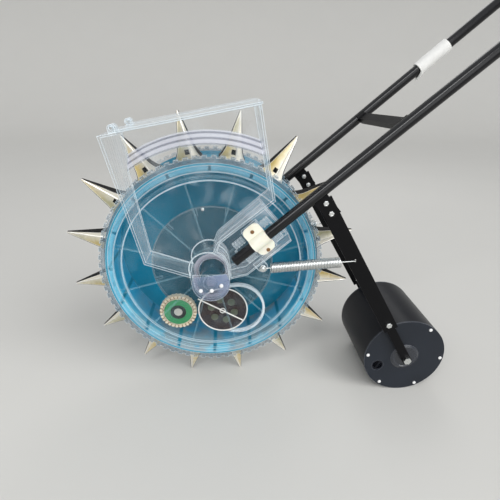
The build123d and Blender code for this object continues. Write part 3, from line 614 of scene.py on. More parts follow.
def teal_abs(colours):
    """Moulded ABS, teal: a soft sheen, faint shrink marks, edges painted paler as a painted highlight, and
    inside the wall a panel at each duckbill painted paler as light through the thin wall and darker deeper in
    as painted shade, with a patch of painted shade where it dips, a painted highlight on a step and darker
    joints between."""
    material, tree, shader = new_material("teal_moulded_abs", Roughness=0.34, IOR=1.54,
                                          Specular_IOR_Level=0.25)
    radius, square, distance = about_drum(tree)
    # Shrink marks and dust in patches about 60 mm wide
    patches = grain_bump(tree, shader, 16.0, 0.12, 4.0, 0.0006)
    face = two_tone(tree, ramp(tree, patches, 0.35, 0.7), toned(colours.teal, 0.78), colours.teal)
    # A patch of painted shade in each panel where it dips, about 11 mm wide, and a painted highlight on a step
    # round the wall 33 mm from the drum's middle
    depth = part(tree, about_axle(tree), "Y")
    dimple_shade = both(tree, ramp(tree, distance, 0.085, 0.06), ramp(tree, depth, -0.051, -0.049),
                  ramp(tree, depth, -0.037, -0.039))
    # The panels' pale cyan is painted light, as if through the thin wall; deeper in, painted shade darkens it
    wall = two_tone(tree, ramp(tree, depth, -0.03, -0.02), colours.teal_wall_glow, linear("38b4dc"))
    wall = two_tone(tree, scuffed(tree), wall, linear("98a6ac"))
    wall = two_tone(tree, dimple_shade, wall, linear("3fa3c4"))
    wall = two_tone(tree, ramp(tree, off(tree, depth, -0.033), 0.0016, 0.0006), wall, linear("d8f4fc"))
    # The wall's end beside the clear side takes no light from within
    end = both(tree, ramp(tree, square, 0.31, 0.3), ramp(tree, radius, 0.2035, 0.204))
    face = two_tone(tree, end, face, linear("2f86a2"))
    # Where the wall's inner face shows, its panels take that painted light
    pale = both(tree, ramp(tree, radius, 0.2045, 0.2046), ramp(tree, radius, 0.2078, 0.2077),
                ramp(tree, square, 0.7, 0.71), ramp(tree, distance, 0.47, 0.43))
    panelled = two_tone(tree, pale, face, wall)
    # Edges painted paler: a painted highlight
    feed(tree, shader, Base_Color=two_tone(tree, edge_mask(tree, 1.0), panelled, linear("62bcd8")))
    return material


def smoked_plastic(colours):
    """Smoked polystyrene: a see-through grey that darkens what lies behind it, with its edges painted pale as
    a painted highlight.
    """
    material, tree, shader = new_material("smoked_polystyrene", Roughness=0.14, IOR=1.59)
    # The painted highlight on the edges is dimmed round the seed roller, which lies in its shade
    radius = about_drum(tree)[0]
    edge_highlight = both(tree, edge_mask(tree, 1.5), ramp(tree, radius, 0.044, 0.046, 0.1, 1.0))
    graze = add(tree, "ShaderNodeLayerWeight", {"Blend": 0.25}).outputs["Facing"]
    # Swirls of the melt, about 50 mm across
    swirl = noise(tree, here(tree), 20.0, 3.0, 1.0)
    body = two_tone(tree, swirl, colours.smoked, toned(colours.smoked, 1.9))
    # The seat of the seed roller, 30 mm about the axle, lets less light through, painted the dark teal of the
    # roller in the hub's shade
    seat = ramp(tree, radius, 0.032, 0.03)
    body = two_tone(tree, seat, body, linear("0e5570"))
    alpha = most(tree, ramp(tree, graze, 0.0, 1.0, 0.42, 0.75), both(tree, edge_highlight, 0.85), both(tree, seat, 0.9))
    feed(tree, shader, Base_Color=two_tone(tree, edge_highlight, body, linear("a9c3cd")), Alpha=alpha)
    return material


def passivated_zinc(colours):
    """Zinc-plated sheet steel, yellow-passivated: a painted highlight of near white along the folds, near
    white on one side of each bill, gold and olive in the hollow of the other side, with streaks along the
    bill."""
    material, tree, shader = new_material("passivated_zinc_sheet", Metallic=0.55)
    place = about_axle(tree)
    # Streaks of the plating, about 3 mm wide and several times as long
    streaks = noise(tree, place, 60.0, 5.0, 1.8)
    # The bath left each bill a little different: patches wider than the 80 mm from bill to bill
    clouds = noise(tree, place, 9.0, 3.0)
    uneven = maths(tree, "MULTIPLY_ADD", streaks, 0.16, bill_share(tree))
    hollow = two_tone(tree, ramp(tree, clouds, 0.44, 0.56), colours.zinc_gold, linear("a6a27e"))
    plated = two_tone(tree, ramp(tree, uneven, 0.5, 0.68, 0.0, 0.9), colours.zinc, hollow)
    bump = add(tree, "ShaderNodeBump", {"Height": clouds, "Strength": 0.15, "Distance": 0.001})
    # Near white painted along the folds and edges: a painted highlight
    feed(tree, shader, Base_Color=two_tone(tree, edge_mask(tree, 1.9), plated, linear("fffefa")),
         Roughness=ramp(tree, streaks, 0.0, 1.0, 0.24, 0.46), Normal=bump.outputs[0])
    return material


def worn_black(name, base, worn, roughness, scale, wear_width, dust, peel=0.18, **sockets):
    """A black coat over metal or plastic: an even colour with paler, rubbed edges and a faint orange peel."""
    material, tree, shader = new_material(name, **sockets)
    grain = grain_bump(tree, shader, scale, peel)
    veil = ramp(tree, noise(tree, here(tree), 9.0, 5.0), 0.45, 0.8, 0.0, dust)
    dusty = two_tone(tree, veil, base, toned(base, 2.6, 0.004))
    feed(tree, shader, Base_Color=two_tone(tree, edge_mask(tree, wear_width), dusty, worn),
         Roughness=ramp(tree, grain, 0.0, 1.0, roughness - 0.3 * peel, roughness + 0.4 * peel))
    return material


def bright_steel(colours):
    """Bright zinc-plated steel: a clean metal with a faint drawn grain and small dull spots."""
    material, tree, shader = new_material("bright_plated_steel", Metallic=1.0)
    # Dull spots in the plating, about 2 mm apart
    spots = noise(tree, here(tree), 450.0)
    feed(tree, shader, Base_Color=two_tone(tree, ramp(tree, spots, 0.35, 0.75), colours.steel,
                                           toned(colours.steel, 0.72)),
         Roughness=ramp(tree, spots, 0.0, 1.0, 0.16, 0.36))
    return material


def ivory_nylon(colours):
    """Moulded nylon, ivory: a waxy sheen, light that sinks in a little, and faint brown stains."""
    material, tree, shader = new_material("ivory_moulded_nylon", Roughness=0.4, IOR=1.53,
                                          Subsurface_Weight=0.12, Subsurface_Scale=0.004)
    stain = ramp(tree, grain_bump(tree, shader, 45.0, 0.2, 4.0, 0.0004), 0.5, 0.8, 0.0, 0.5)
    feed(tree, shader, Base_Color=two_tone(tree, stain, colours.nylon, linear("d9cba4")))
    return material


def closed_foam(colours):
    """Closed-cell rubber foam: matt black with small open cells."""
    material, tree, shader = new_material("closed_cell_foam", Roughness=0.92, Sheen_Weight=0.15)
    # Cells drawn about 1.2 mm across, coarser than the real half millimetre, so that they show
    cells = add(tree, "ShaderNodeTexVoronoi", {"Vector": here(tree), "Scale": 800.0}).outputs["Distance"]
    pore_depth_and_shade = ramp(tree, cells, 0.0, 0.6)
    bump = add(tree, "ShaderNodeBump", {"Height": pore_depth_and_shade, "Strength": 0.6, "Distance": 0.0006})
    # The cells' hollows are painted darker: painted shade
    feed(tree, shader, Base_Color=two_tone(tree, pore_depth_and_shade, toned(colours.foam, 0.45), colours.foam),
         Normal=bump.outputs[0])
    return material


def moulded_plastic(name, base, roughness, scale=120.0, strength=0.15):
    """Moulded opaque plastic: an even colour with a little cloudiness and a fine grain."""
    material, tree, shader = new_material(name, Roughness=roughness, IOR=1.5)
    clouds = grain_bump(tree, shader, scale, strength)
    feed(tree, shader, Base_Color=two_tone(tree, clouds, toned(base, 0.82), base))
    return material


def studio_floor(colours):
    """A plain pale floor with a faint unevenness."""
    material, tree, shader = new_material("pale_floor", Roughness=0.85)
    clouds = noise(tree, here(tree), 3.0, 3.0)
    feed(tree, shader, Base_Color=two_tone(tree, clouds, toned(colours.floor, 0.97), colours.floor))
    return material


def dress(material, *names):
    """Gives nodes of the frame their material."""
    for name in names:
        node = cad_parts[name]
        node.data.materials.clear()
        node.data.materials.append(material)


# Fine pieces that several operators use
def hex_bolt(head, grip_length):
    """A hexagon bolt along Z with a nut: its head below zero, its nut beyond the grip length."""
    pieces = []
    for start, is_head in ((0.0, True), (grip_length, False)):
        block = cylinder(head, 0.0, head * 0.75, 6)
        edit(block)
        pick_faces(block, is_top)
        inset_steps([(0.2 * head, 0.08 * head)] + ([(0.22 * head, -0.04 * head)] if is_head else []))
        flip = Matrix.Rotation(pi, 4, "X") if is_head else Matrix.Identity(4)
        pieces.append(moved(done(block), Matrix.Translation((0, 0, start / 1000.0)) @ flip))
    shank = cylinder(head * 0.52, 0.0, grip_length + head * 1.1, 14)
    edit(shank, "EDGE")
    pick_edges(shank, lambda a, b: min(a.z, b.z) > grip_length + 2 and abs(a.z - b.z) < 0.01)
    bpy.ops.mesh.bevel(offset=0.0006, segments=1, affect="EDGES")
    return joined("bolt", done(shank), *pieces)


def pan_screw(radius, height, sides=16, slot_depth=0.5):
    """The head of a pan-head screw on Z, domed, with a recess."""
    head = cylinder(radius, 0.0, height, sides)
    edit(head)
    pick_faces(head, is_top)
    inset_steps(((0.3 * radius, 0.3 * height), (0.35 * radius, 0.12 * height), (0.08 * radius, -slot_depth)))
    return smooth(done(head), 40.0)


def bill_side(z):
    """How far a bill's side is from its middle plane at a height above its foot, with the foot's flare."""
    straight = BILL_TIP + (BILL_FOOT - BILL_TIP) * (1 - z / BILL_HEIGHT)
    return straight + 5.5 * max(0.0, 1 - z / 24.0) ** 2


def bill_joint(z):
    """Where the flap meets the fixed half."""
    return BILL_JOINT * (1 - z / BILL_HEIGHT)


def bill_slice(inner, outer, inset=0.0, halves=BILL_HALVES):
    """A slice of a bill between two sides, each a function of the height above the foot."""
    clear_selection()
    bpy.ops.mesh.primitive_cube_add(size=0.002)
    block = bpy.context.object
    edit(block)
    cut_across(2 * level / BILL_HEIGHT - 1 for level in BILL_LEVELS)

    def shape(vertex):
        z = (vertex.co.z * 1000.0 + 1) / 2 * BILL_HEIGHT
        half = halves[0] + (halves[1] - halves[0]) * z / BILL_HEIGHT
        side = inner(z) if vertex.co.x < 0 else outer(z)
        vertex.co = Vector((side, half if vertex.co.y > 0 else -half, z)) / 1000.0

    each_vertex(block, shape)
    bpy.ops.mesh.select_all(action="SELECT")
    bpy.ops.mesh.normals_make_consistent(inside=False)
    if inset:
        bpy.ops.mesh.select_all(action="DESELECT")
        pick_faces(block, lambda normal: abs(normal.y) > 0.9)
        bpy.ops.mesh.inset(thickness=inset)
        bpy.ops.transform.shrink_fatten(value=-0.0008)
    return done(block)


def widen(vertex, factor):
    """Moves a vertex out from Z."""
    vertex.co.x *= factor
    vertex.co.y *= factor


def set_up(name, data, matrix):
    """A lamp or camera at its place in the scene."""
    stand = bpy.data.objects.new(name, data)
    bpy.context.scene.collection.objects.link(stand)
    stand.matrix_world = matrix
    return stand


# Operators
class SEEDER_OT_stage(bpy.types.Operator):
    """Floor, backdrop, lamps, world and camera"""
    bl_idname = "seeder.stage"
    bl_label = "Stage"

    def execute(self, context):
        clear_selection()
        bpy.ops.mesh.primitive_plane_add(size=14.0, location=(0.0, 0.0, 0.0))
        floor = context.object
        floor.name = "floor"
        edit(floor, "EDGE")
        pick_edges(floor, lambda a, b: min(a.y, b.y) > 6000)
        bpy.ops.mesh.extrude_region_move(TRANSFORM_OT_translate={"value": (0.0, 0.0, 7.0)})
        bpy.ops.mesh.select_all(action="DESELECT")
        pick_edges(floor, lambda a, b: min(a.y, b.y) > 6000 and max(a.z, b.z) < 1)
        bpy.ops.mesh.bevel(offset=3.0, segments=16, affect="EDGES")
        smooth(done(floor), 60.0)
        floor.data.materials.append(studio_floor(context.scene.seeder_colours))

        world = bpy.data.worlds.new("studio")
        context.scene.world = world
        world.use_nodes = True
        tree = world.node_tree
        sky = tree.nodes["Background"]
        rays = add(tree, "ShaderNodeLightPath")
        seen = most(tree, rays.outputs["Is Camera Ray"], rays.outputs["Is Transmission Ray"],
                    rays.outputs["Is Glossy Ray"])
        # The background that is seen, mirrored or looked through is brighter overhead than at the horizon
        height = part(tree, add(tree, "ShaderNodeTexCoord").outputs["Generated"], "Z")
        spread = maths(tree, "SUBTRACT", ramp(tree, height, 0.05, 0.6, 0.6, 0.95), SKY)
        sky.inputs["Color"].default_value = linear("f6f8fb")
        feed(tree, sky, Strength=maths(tree, "MULTIPLY_ADD", spread, seen, SKY))

        sun = bpy.data.lights.new("sky_lamp", "SUN")
        sun.energy = 1.75
        sun.angle = radians(40.0)
        set_up("sky_lamp", sun, Vector((-0.6, 0.52, -0.6)).to_track_quat("-Z", "Y").to_matrix().to_4x4())
        # Each lamp's long side lies along the handle, so that the tubes mirror it from end to end
        handle = Vector((cos(HANDLE_SLOPE), 0.0, sin(HANDLE_SLOPE)))
        for name, place, size, power in (
            ("front_lamp", (0.3, -2.4, 1.05), (1.8, 1.8), 13.0),
            ("top_lamp", (-0.9, -1.8, 2.1), (1.9, 0.5), 26.0),
            ("back_lamp", (0.6, 2.0, 2.2), (1.2, 1.2), 10.0),
        ):
            lamp = bpy.data.lights.new(name, "AREA")
            lamp.shape = "RECTANGLE"
            lamp.size, lamp.size_y = size
            lamp.energy = power
            back = (Vector(place) - Vector((-0.1, 0.0, 0.3))).normalized()
            up = back.cross(handle).normalized()
            turn = Matrix((up.cross(back), up, back)).transposed()
            set_up(name, lamp, Matrix.Translation(place) @ turn.to_4x4())

        yaw, pitch, roll = 0.0611, 0.4051, 0.0122
        eye = bpy.data.cameras.new("camera")
        eye.lens = 28.117
        eye.sensor_width = 36.0
        eye.clip_start = 0.02
        turn = Matrix.Rotation(-yaw, 3, "Z") @ Matrix.Rotation(pi / 2 - pitch, 3, "X")
        turn = turn @ Matrix.Rotation(roll, 3, "Z")
        place = Matrix.Translation(AXLE + Vector((0.032, -0.7663, 0.3427)))
        context.scene.camera = set_up("camera", eye, place @ turn.to_4x4())
        context.scene.view_settings.view_transform = "Standard"
        context.scene.cycles.transparent_max_bounces = 40
        return {"FINISHED"}


class SEEDER_OT_clear_mouldings(bpy.types.Operator):
    """Hopper, hubs, lid, channels and the drum's clear side and rims"""
    bl_idname = "seeder.clear_mouldings"
    bl_label = "Clear mouldings"

    def execute(self, context):
        colours = context.scene.seeder_colours
        edge = colours.cover_edge
        # How much faces, walls and edges show, the edges' width and dark border, and the rubbed patches' haze
        for name, looks, tones, nodes in (
            ("clear_hopper", (0.006, 0.95, 0.95, 2.6, 0.45, 0.08), {"folds": step_bands}, ("hopper",)),
            ("clear_lid", (0.1, 0.9, 0.95, 2.6, 0.6), {}, ("hopper_lid",)),
            ("clear_sleeve", (0.01, 0.3, 0.2, 2.4, 0.1), {}, ("seed_sleeve",)),
            ("clear_hub", (0.01, 0.7, 0.7, 2.2, 0.3, 0.06), {"folds": hub_bands}, ("hub_near", "hub_far")),
            ("clear_channels", (0.05, 1.0, 0.95, 2.4, 0.25, 0.3), {"body": linear("f3f6fb")},
             ("channel_near", "channel_far")),
            ("clear_cover", (0.004, 0.8, 0.5, 1.1, 0.1, 0.04),
             {"body": edge, "edge": edge, "folds": cover_bands}, ("drum_cover",)),
            ("clear_hoop", (0.45, 0.9, 0.95, 2.0, 0.3), {"body": colours.clear_edge}, ("spare_hoop",)),
            ("clear_rims", (0.3, 0.6, 0.95, 1.3, 0.9), {"body": linear("7b8d98")},
             ("drum_rim_near", "drum_rim_far")),
        ):
            dress(clear_moulding(name, colours, *looks, **tones), *nodes)
        return {"FINISHED"}


class SEEDER_OT_drum(bpy.types.Operator):
    """Tub, seed roller and metering disc"""
    bl_idname = "seeder.drum"
    bl_label = "Drum"

    def execute(self, context):
        colours = context.scene.seeder_colours
        dress(teal_abs(colours), "drum_shell")
        dress(moulded_plastic("deep_teal_abs", toned(colours.teal, 0.25), 0.3), "seed_roller")
        dress(smoked_plastic(colours), "metering_disc")
        flange = cylinder(TUB_RADIUS + 5.6, 0.0, 1.2, 160)
        edit(flange)
        pick_faces(flange, is_end)
        bpy.ops.mesh.inset(thickness=0.0056)
        bpy.ops.mesh.bridge_edge_loops()
        flanges = outward(copies(done(flange), both_sides(0, RIM_BACK, 0, -1), "tub_flanges"))
        finished(smooth(flanges, 30.0), "drum",
                 moulded_plastic("flat_teal_abs", linear("3f93b0"), 0.4))
        return {"FINISHED"}


class SEEDER_OT_frame_finish(bpy.types.Operator):
    """Tubes, arms, roller, clamps and axles"""
    bl_idname = "seeder.frame_finish"
    bl_label = "Frame finishes"

    def execute(self, context):
        colours = context.scene.seeder_colours
        dress(worn_black("gloss_black_enamel", colours.enamel, linear("1a1a1d"), 0.18, 220.0, 0.5, 0.02, 0.03,
                         Specular_IOR_Level=0.4), "handle_tube_near", "handle_tube_far")
        dress(worn_black("black_powder_coat", colours.powder, linear("2a2a2d"), 0.42, 900.0, 0.6, 0.04,
                         Specular_IOR_Level=0.12),
              "arm_near", "arm_far", "strap_near", "strap_far", "lug_near", "lug_far", "crossbar")
        dress(worn_black("satin_black_plastic", colours.roller, linear("5c5f68"), 0.34, 300.0, 0.9, 0.06,
                         IOR=1.5, Specular_IOR_Level=0.17), "roller_barrel", "filler_plug")
        dress(worn_black("satin_black_cap", linear("1c2129"), linear("6a6e78"), 0.4, 300.0, 1.0, 0.2,
                         IOR=1.5, Specular_IOR_Level=0.3), "roller_cap_near", "roller_cap_far")
        dress(ivory_nylon(colours), "saddle_clamp_near", "saddle_clamp_far")
        dress(moulded_plastic("grey_axle", linear("868e9c"), 0.5), "drum_axle")
        dress(bright_steel(colours), "roller_axle", "lid_pins", "spring_near", "spring_far", "frame_bolts",
              "clamp_screws")
        return {"FINISHED"}


class SEEDER_OT_spare_wheels(bpy.types.Operator):
    """Spare wheels that lie in the drum, with the notched rim and the thin rod"""
    bl_idname = "seeder.spare_wheels"
    bl_label = "Spare wheels"

    def execute(self, context):
        colours = context.scene.seeder_colours
        cream = moulded_plastic("cream_polypropylene", colours.cream, 0.55)
        dress(cream, "spare_wheel_rim")
        low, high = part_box("spare_wheel_rim")
        middle = (low + high) / 2
        outer, inner = SPARE_WHEEL_RADII
        corners = 4 * WHEEL_NOTCHES
        rim = cylinder(outer, 0.0, (high.y - low.y) * 1000.0, corners)
        edit(rim, "VERT")
        each_vertex(rim, lambda vertex: vertex.select_set(
            round(atan2(vertex.co.y, vertex.co.x) / (2 * pi) * corners) % 4 in (0, 1)))
        bpy.ops.transform.resize(value=(0.92, 0.92, 1.0), center_override=(0.0, 0.0, 0.0))
        bpy.ops.mesh.select_mode(type="FACE")
        bpy.ops.mesh.select_all(action="DESELECT")
        pick_faces(rim, is_end)
        inset_steps([(3.5, -0.8)], both_ends=True)
        bpy.ops.mesh.inset(thickness=(0.92 * outer - inner - 3.5) / 1000.0)
        bpy.ops.mesh.bridge_edge_loops()
        rim = moved(outward(done(rim)), facing((middle.x, low.y, middle.z), (0, 1, 0)))
        finished(smooth(rim, 30.0), "drum", cream, ("spare_wheel_rim",))

        # Dark brown bars on the rim's face between its teeth: painted shade in the gaps
        clear_selection()
        bpy.ops.mesh.primitive_cube_add(size=0.001)
        context.object.scale = (5.4, 1.9, 0.6)
        notch_shade = applied()
        hub = Matrix.Translation((middle.x, low.y, middle.z))
        reach = Matrix.Translation((outer / 1000.0 - 0.0042, 0.0001, 0)) @ Matrix.Rotation(pi / 2, 4, "X")
        places = [hub @ Matrix.Rotation((i + 0.125) * 2 * pi / WHEEL_NOTCHES, 4, "Y") @ reach
                  for i in range(WHEEL_NOTCHES)]
        finished(copies(notch_shade, places, "spare_wheel_notch_shades"), "drum",
                 moulded_plastic("painted_shade_polypropylene", linear("8a7150"), 0.6))
        dress(moulded_plastic("green_polypropylene", colours.green, 0.5), "spare_wheel_band")
        dress(moulded_plastic("black_polypropylene", linear("1c1d1c"), 0.45), "spare_wheel_hub")
        dress(moulded_plastic("grey_polypropylene", linear("b9b7b0"), 0.4), "spare_wheel_pin")

        brown = moulded_plastic("smoked_brown_polystyrene", linear("3a2c2a"), 0.25)
        brown.node_tree.nodes["Principled BSDF"].inputs["Alpha"].default_value = 0.74
        low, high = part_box("spare_disc")
        middle = (low + high) / 2
        face = low.y + SPARE_LIP / 1000.0
        plate = cylinder((high.x - low.x) * 500.0, 0.0, (high.y - low.y) * 1000.0 - SPARE_LIP, 72)
        edit(plate)
        pick_faces(plate, is_end)
        inset_steps(((3.0, -0.9), (14.0, 0.0), (1.6, 0.7), (1.6, -0.7), (17.0, 0.0), (1.2, 0.8), (4.5, 0.0),
                     (1.0, -0.8)), both_ends=True)
        plate = moved(done(plate), facing((middle.x, face, middle.z), (0, 1, 0)))
        finished(smooth(plate, 30.0), "drum", brown, ("spare_disc",))
        pocket = cylinder(8.0, -0.25, 1.0, 28)
        edit(pocket)
        pick_faces(pocket, is_foot)
        inset_steps([(1.2, 0.9)])
        places = []
        for i in range(6):
            angle = pi / 4 + i * pi / 3
            spot = (middle.x + 0.025 * cos(angle), face, middle.z + 0.025 * sin(angle))
            places.append(facing(spot, (0, 1, 0)))
        finished(copies(done(pocket), places, "spare_disc_pockets"), "drum",
                 moulded_plastic("olive_polystyrene", linear("4f5546"), 0.3))
        white = moulded_plastic("white_polystyrene", linear("f0f0ec"), 0.3)
        # A white ring round the disc's edge: a painted highlight on its rim
        rim_highlight = moved(torus(51.1, 1.4, 96, 8), facing((middle.x, face - 0.0006, middle.z), (0, 1, 0)))
        finished(smooth(named(rim_highlight, "spare_disc_highlight_ring"), 60.0), "drum", white)

        start, end = Vector((-51.6, 0.0, 28.1)), Vector((43.1, 0.0, -26.7))
        rod = eased(cylinder(context.scene.seeder_sizes.spare_rod * 1000.0, 0.0, (end - start).length, 12))
        rod = joined("spare_rod", rod, torus(5.5, 0.9, 24, 8, start.length, pi / 2))
        place = Vector((middle.x, face - 0.0012, middle.z)) + start / 1000.0
        finished(smooth(moved(rod, lying_along(place, end - start)), 60.0), "drum", white)
        return {"FINISHED"}


class SEEDER_OT_duckbills(bpy.types.Operator):
    """Duckbills: sheet folded round a hollow, with a flared foot, dark edges, and a dark square beside the
    joint, painted shade of a window
    """
    bl_idname = "seeder.duckbills"
    bl_label = "Duckbills"

    def execute(self, context):
        sizes = context.scene.seeder_sizes
        zinc = passivated_zinc(context.scene.seeder_colours)
        rubber = worn_black("black_rubber_edge", linear("050506"), linear("121214"), 0.6, 500.0, 0.4, 0.02,
                            Specular_IOR_Level=0.15)
        dress(zinc, "duckbill_feet")
        seats = round_drum((0.0, 0.0))
        for name, node, inner, outer, fold, halves in (
            ("duckbill_sheets", "duckbill_fixed_halves", lambda z: -bill_side(z), bill_joint, sizes.fold,
             BILL_HALVES),
            ("duckbill_flap_sheets", "duckbill_flaps", lambda z: bill_joint(z) + 0.4,
             lambda z: bill_side(z) + 0.5, 0.6 * sizes.fold, (14.4, 2.3)),
        ):
            half = smooth(eased(bill_slice(inner, outer, fold, halves)), 30.0)
            finished(copies(half, seats, name), "drum", zinc, (node,))
        thick = sizes.sheet * 1000.0
        strips = []
        for side in (-1, 1):
            def near(z):
                return side * bill_side(z) + 0.25 * (side + 1)

            def far(z):
                return near(z) + side * thick * (1 - 0.6 * z / BILL_HEIGHT)

            ends = (near, far) if side > 0 else (far, near)
            strips.append(copies(bill_slice(*ends, halves=(13.8, 2.2)), seats, "strips"))
        edges = smooth(joined("duckbill_edge_strips", *strips), 30.0)
        finished(edges, "drum", rubber, ("duckbill_edges",))
        # Dark squares on the cheeks beside the joint: painted shade in the windows
        slope = atan2(BILL_HALVES[0] - BILL_HALVES[1], BILL_HEIGHT)
        window_shades = []
        for y in (-1, 1):
            cheek = y * (BILL_HALVES[0] - 0.8 - WINDOW_HEIGHT * sin(slope))
            spot = Vector((1.4, cheek, WINDOW_HEIGHT)) / 1000.0
            place = facing(spot, (0, y * cos(slope), sin(slope)), pi / 4)
            window_shades.append(moved(cylinder(6.6, -0.5, 0.25, 4), place))
        finished(copies(joined("window", *window_shades), seats, "duckbill_window_shades"), "drum", rubber)
        return {"FINISHED"}


class SEEDER_OT_springs(bpy.types.Operator):
    """Two close-wound springs, each a wire wound along its axis with an eye and a hook"""
    bl_idname = "seeder.springs"
    bl_label = "Springs"

    def execute(self, context):
        steel = bpy.data.materials["bright_plated_steel"]
        sizes = context.scene.seeder_sizes
        radius = sizes.spring_radius * 1000.0
        hook = on_arm(HOOK_AT)
        run = hypot(hook[0] - SPRING_EYE[0], hook[1] - SPRING_EYE[1])
        along = Vector((hook[0] - SPRING_EYE[0], 0, hook[1] - SPRING_EYE[1]))
        lead = SPRING_LEAD / 1000.0
        coil = (run - SPRING_LEAD - SPRING_HOOK) / 1000.0
        turns = round(coil / sizes.spring_pitch)
        thick = 0.46 * sizes.spring_pitch
        inwards = TUBE_Y - LUG_FACE + 3 * PLATE_THICK
        for side, name in ((-1, "near"), (1, "far")):
            clear_selection()
            bpy.ops.mesh.primitive_circle_add(vertices=8, radius=thick, fill_type="NOTHING",
                                              location=(radius / 1000.0 - thick, 0, 0),
                                              rotation=(pi / 2, 0, 0))
            wound = modified(applied(), "SCREW", angle=2 * pi, screw_offset=coil / turns,
                             iterations=turns, steps=20, render_steps=20, axis="Z")
            edit(wound, "EDGE")
            bpy.ops.mesh.select_non_manifold()
            bpy.ops.mesh.fill_holes(sides=0)
            wires = [moved(done(wound), Matrix.Translation((0, 0, lead)))]
            wires.append(cylinder(SPRING_WIRE, EYE_RADIUS, SPRING_LEAD + 2.0, 10))
            wires.append(cylinder(SPRING_WIRE, run - SPRING_HOOK - 2.0, run - 1.0, 10))
            wires.append(torus(EYE_RADIUS, SPRING_WIRE, 28, 10, turn=pi / 2))
            # From the coil's side the wire comes in to the middle before it runs on to the eye and the hook
            for z in (lead, lead + coil):
                place = Matrix.Translation((0, 0, z)) @ Matrix.Rotation(pi / 2, 4, "Y")
                wires.append(moved(cylinder(SPRING_WIRE, 0.0, radius - SPRING_WIRE, 10), place))
            # The hook's end goes through the arm
            through = cylinder(SPRING_WIRE, -(inwards + 3.0) / 2, (inwards + 3.0) / 2, 10)
            place = Matrix.Translation((0, -side * inwards / 2000.0, (run - 1.0) / 1000.0))
            wires.append(moved(through, place @ Matrix.Rotation(pi / 2, 4, "X")))
            whole = smooth(joined("spring_coil_" + name, *wires), 60.0)
            whole = moved(whole, lying_along(at(SPRING_EYE[0], side * TUBE_Y, SPRING_EYE[1]), along))
            finished(whole, "frame", steel, ("spring_" + name,))
        return {"FINISHED"}


class SEEDER_OT_bolts(bpy.types.Operator):
    """Bolts at the lugs and knees, and the screws that hold the springs"""
    bl_idname = "seeder.bolts"
    bl_label = "Bolts"

    def execute(self, context):
        sizes = context.scene.seeder_sizes
        small, large = sizes.bolt_head * 1000.0, sizes.knee_head * 1000.0
        pieces = []
        for head, face, reaches in ((small, LUG_FACE, (ARM_LENGTH - LUG_PITCH, ARM_LENGTH)),
                                    (large, LUG_FACE - PLATE_THICK, (KNEE_AT,))):
            places = []
            for x, z in map(on_arm, reaches):
                places += both_sides(x, face, z, -1, 0.35 * x)
            pieces.append(copies(hex_bolt(head, 2 * PLATE_THICK), places, "bolts"))
        spot = (SPRING_EYE[0], TUBE_Y + 2 * SPRING_WIRE, SPRING_EYE[1])
        pieces.append(copies(pan_screw(small, 2.6), both_sides(*spot), "spring_screws"))
        pieces.append(copies(cylinder(3.0, 0.0, 9.0, 14), both_sides(*spot, -1), "spring_shanks"))
        finished(joined("frame_fasteners", *pieces), "frame",
                 bpy.data.materials["bright_plated_steel"], ("frame_bolts",))
        return {"FINISHED"}


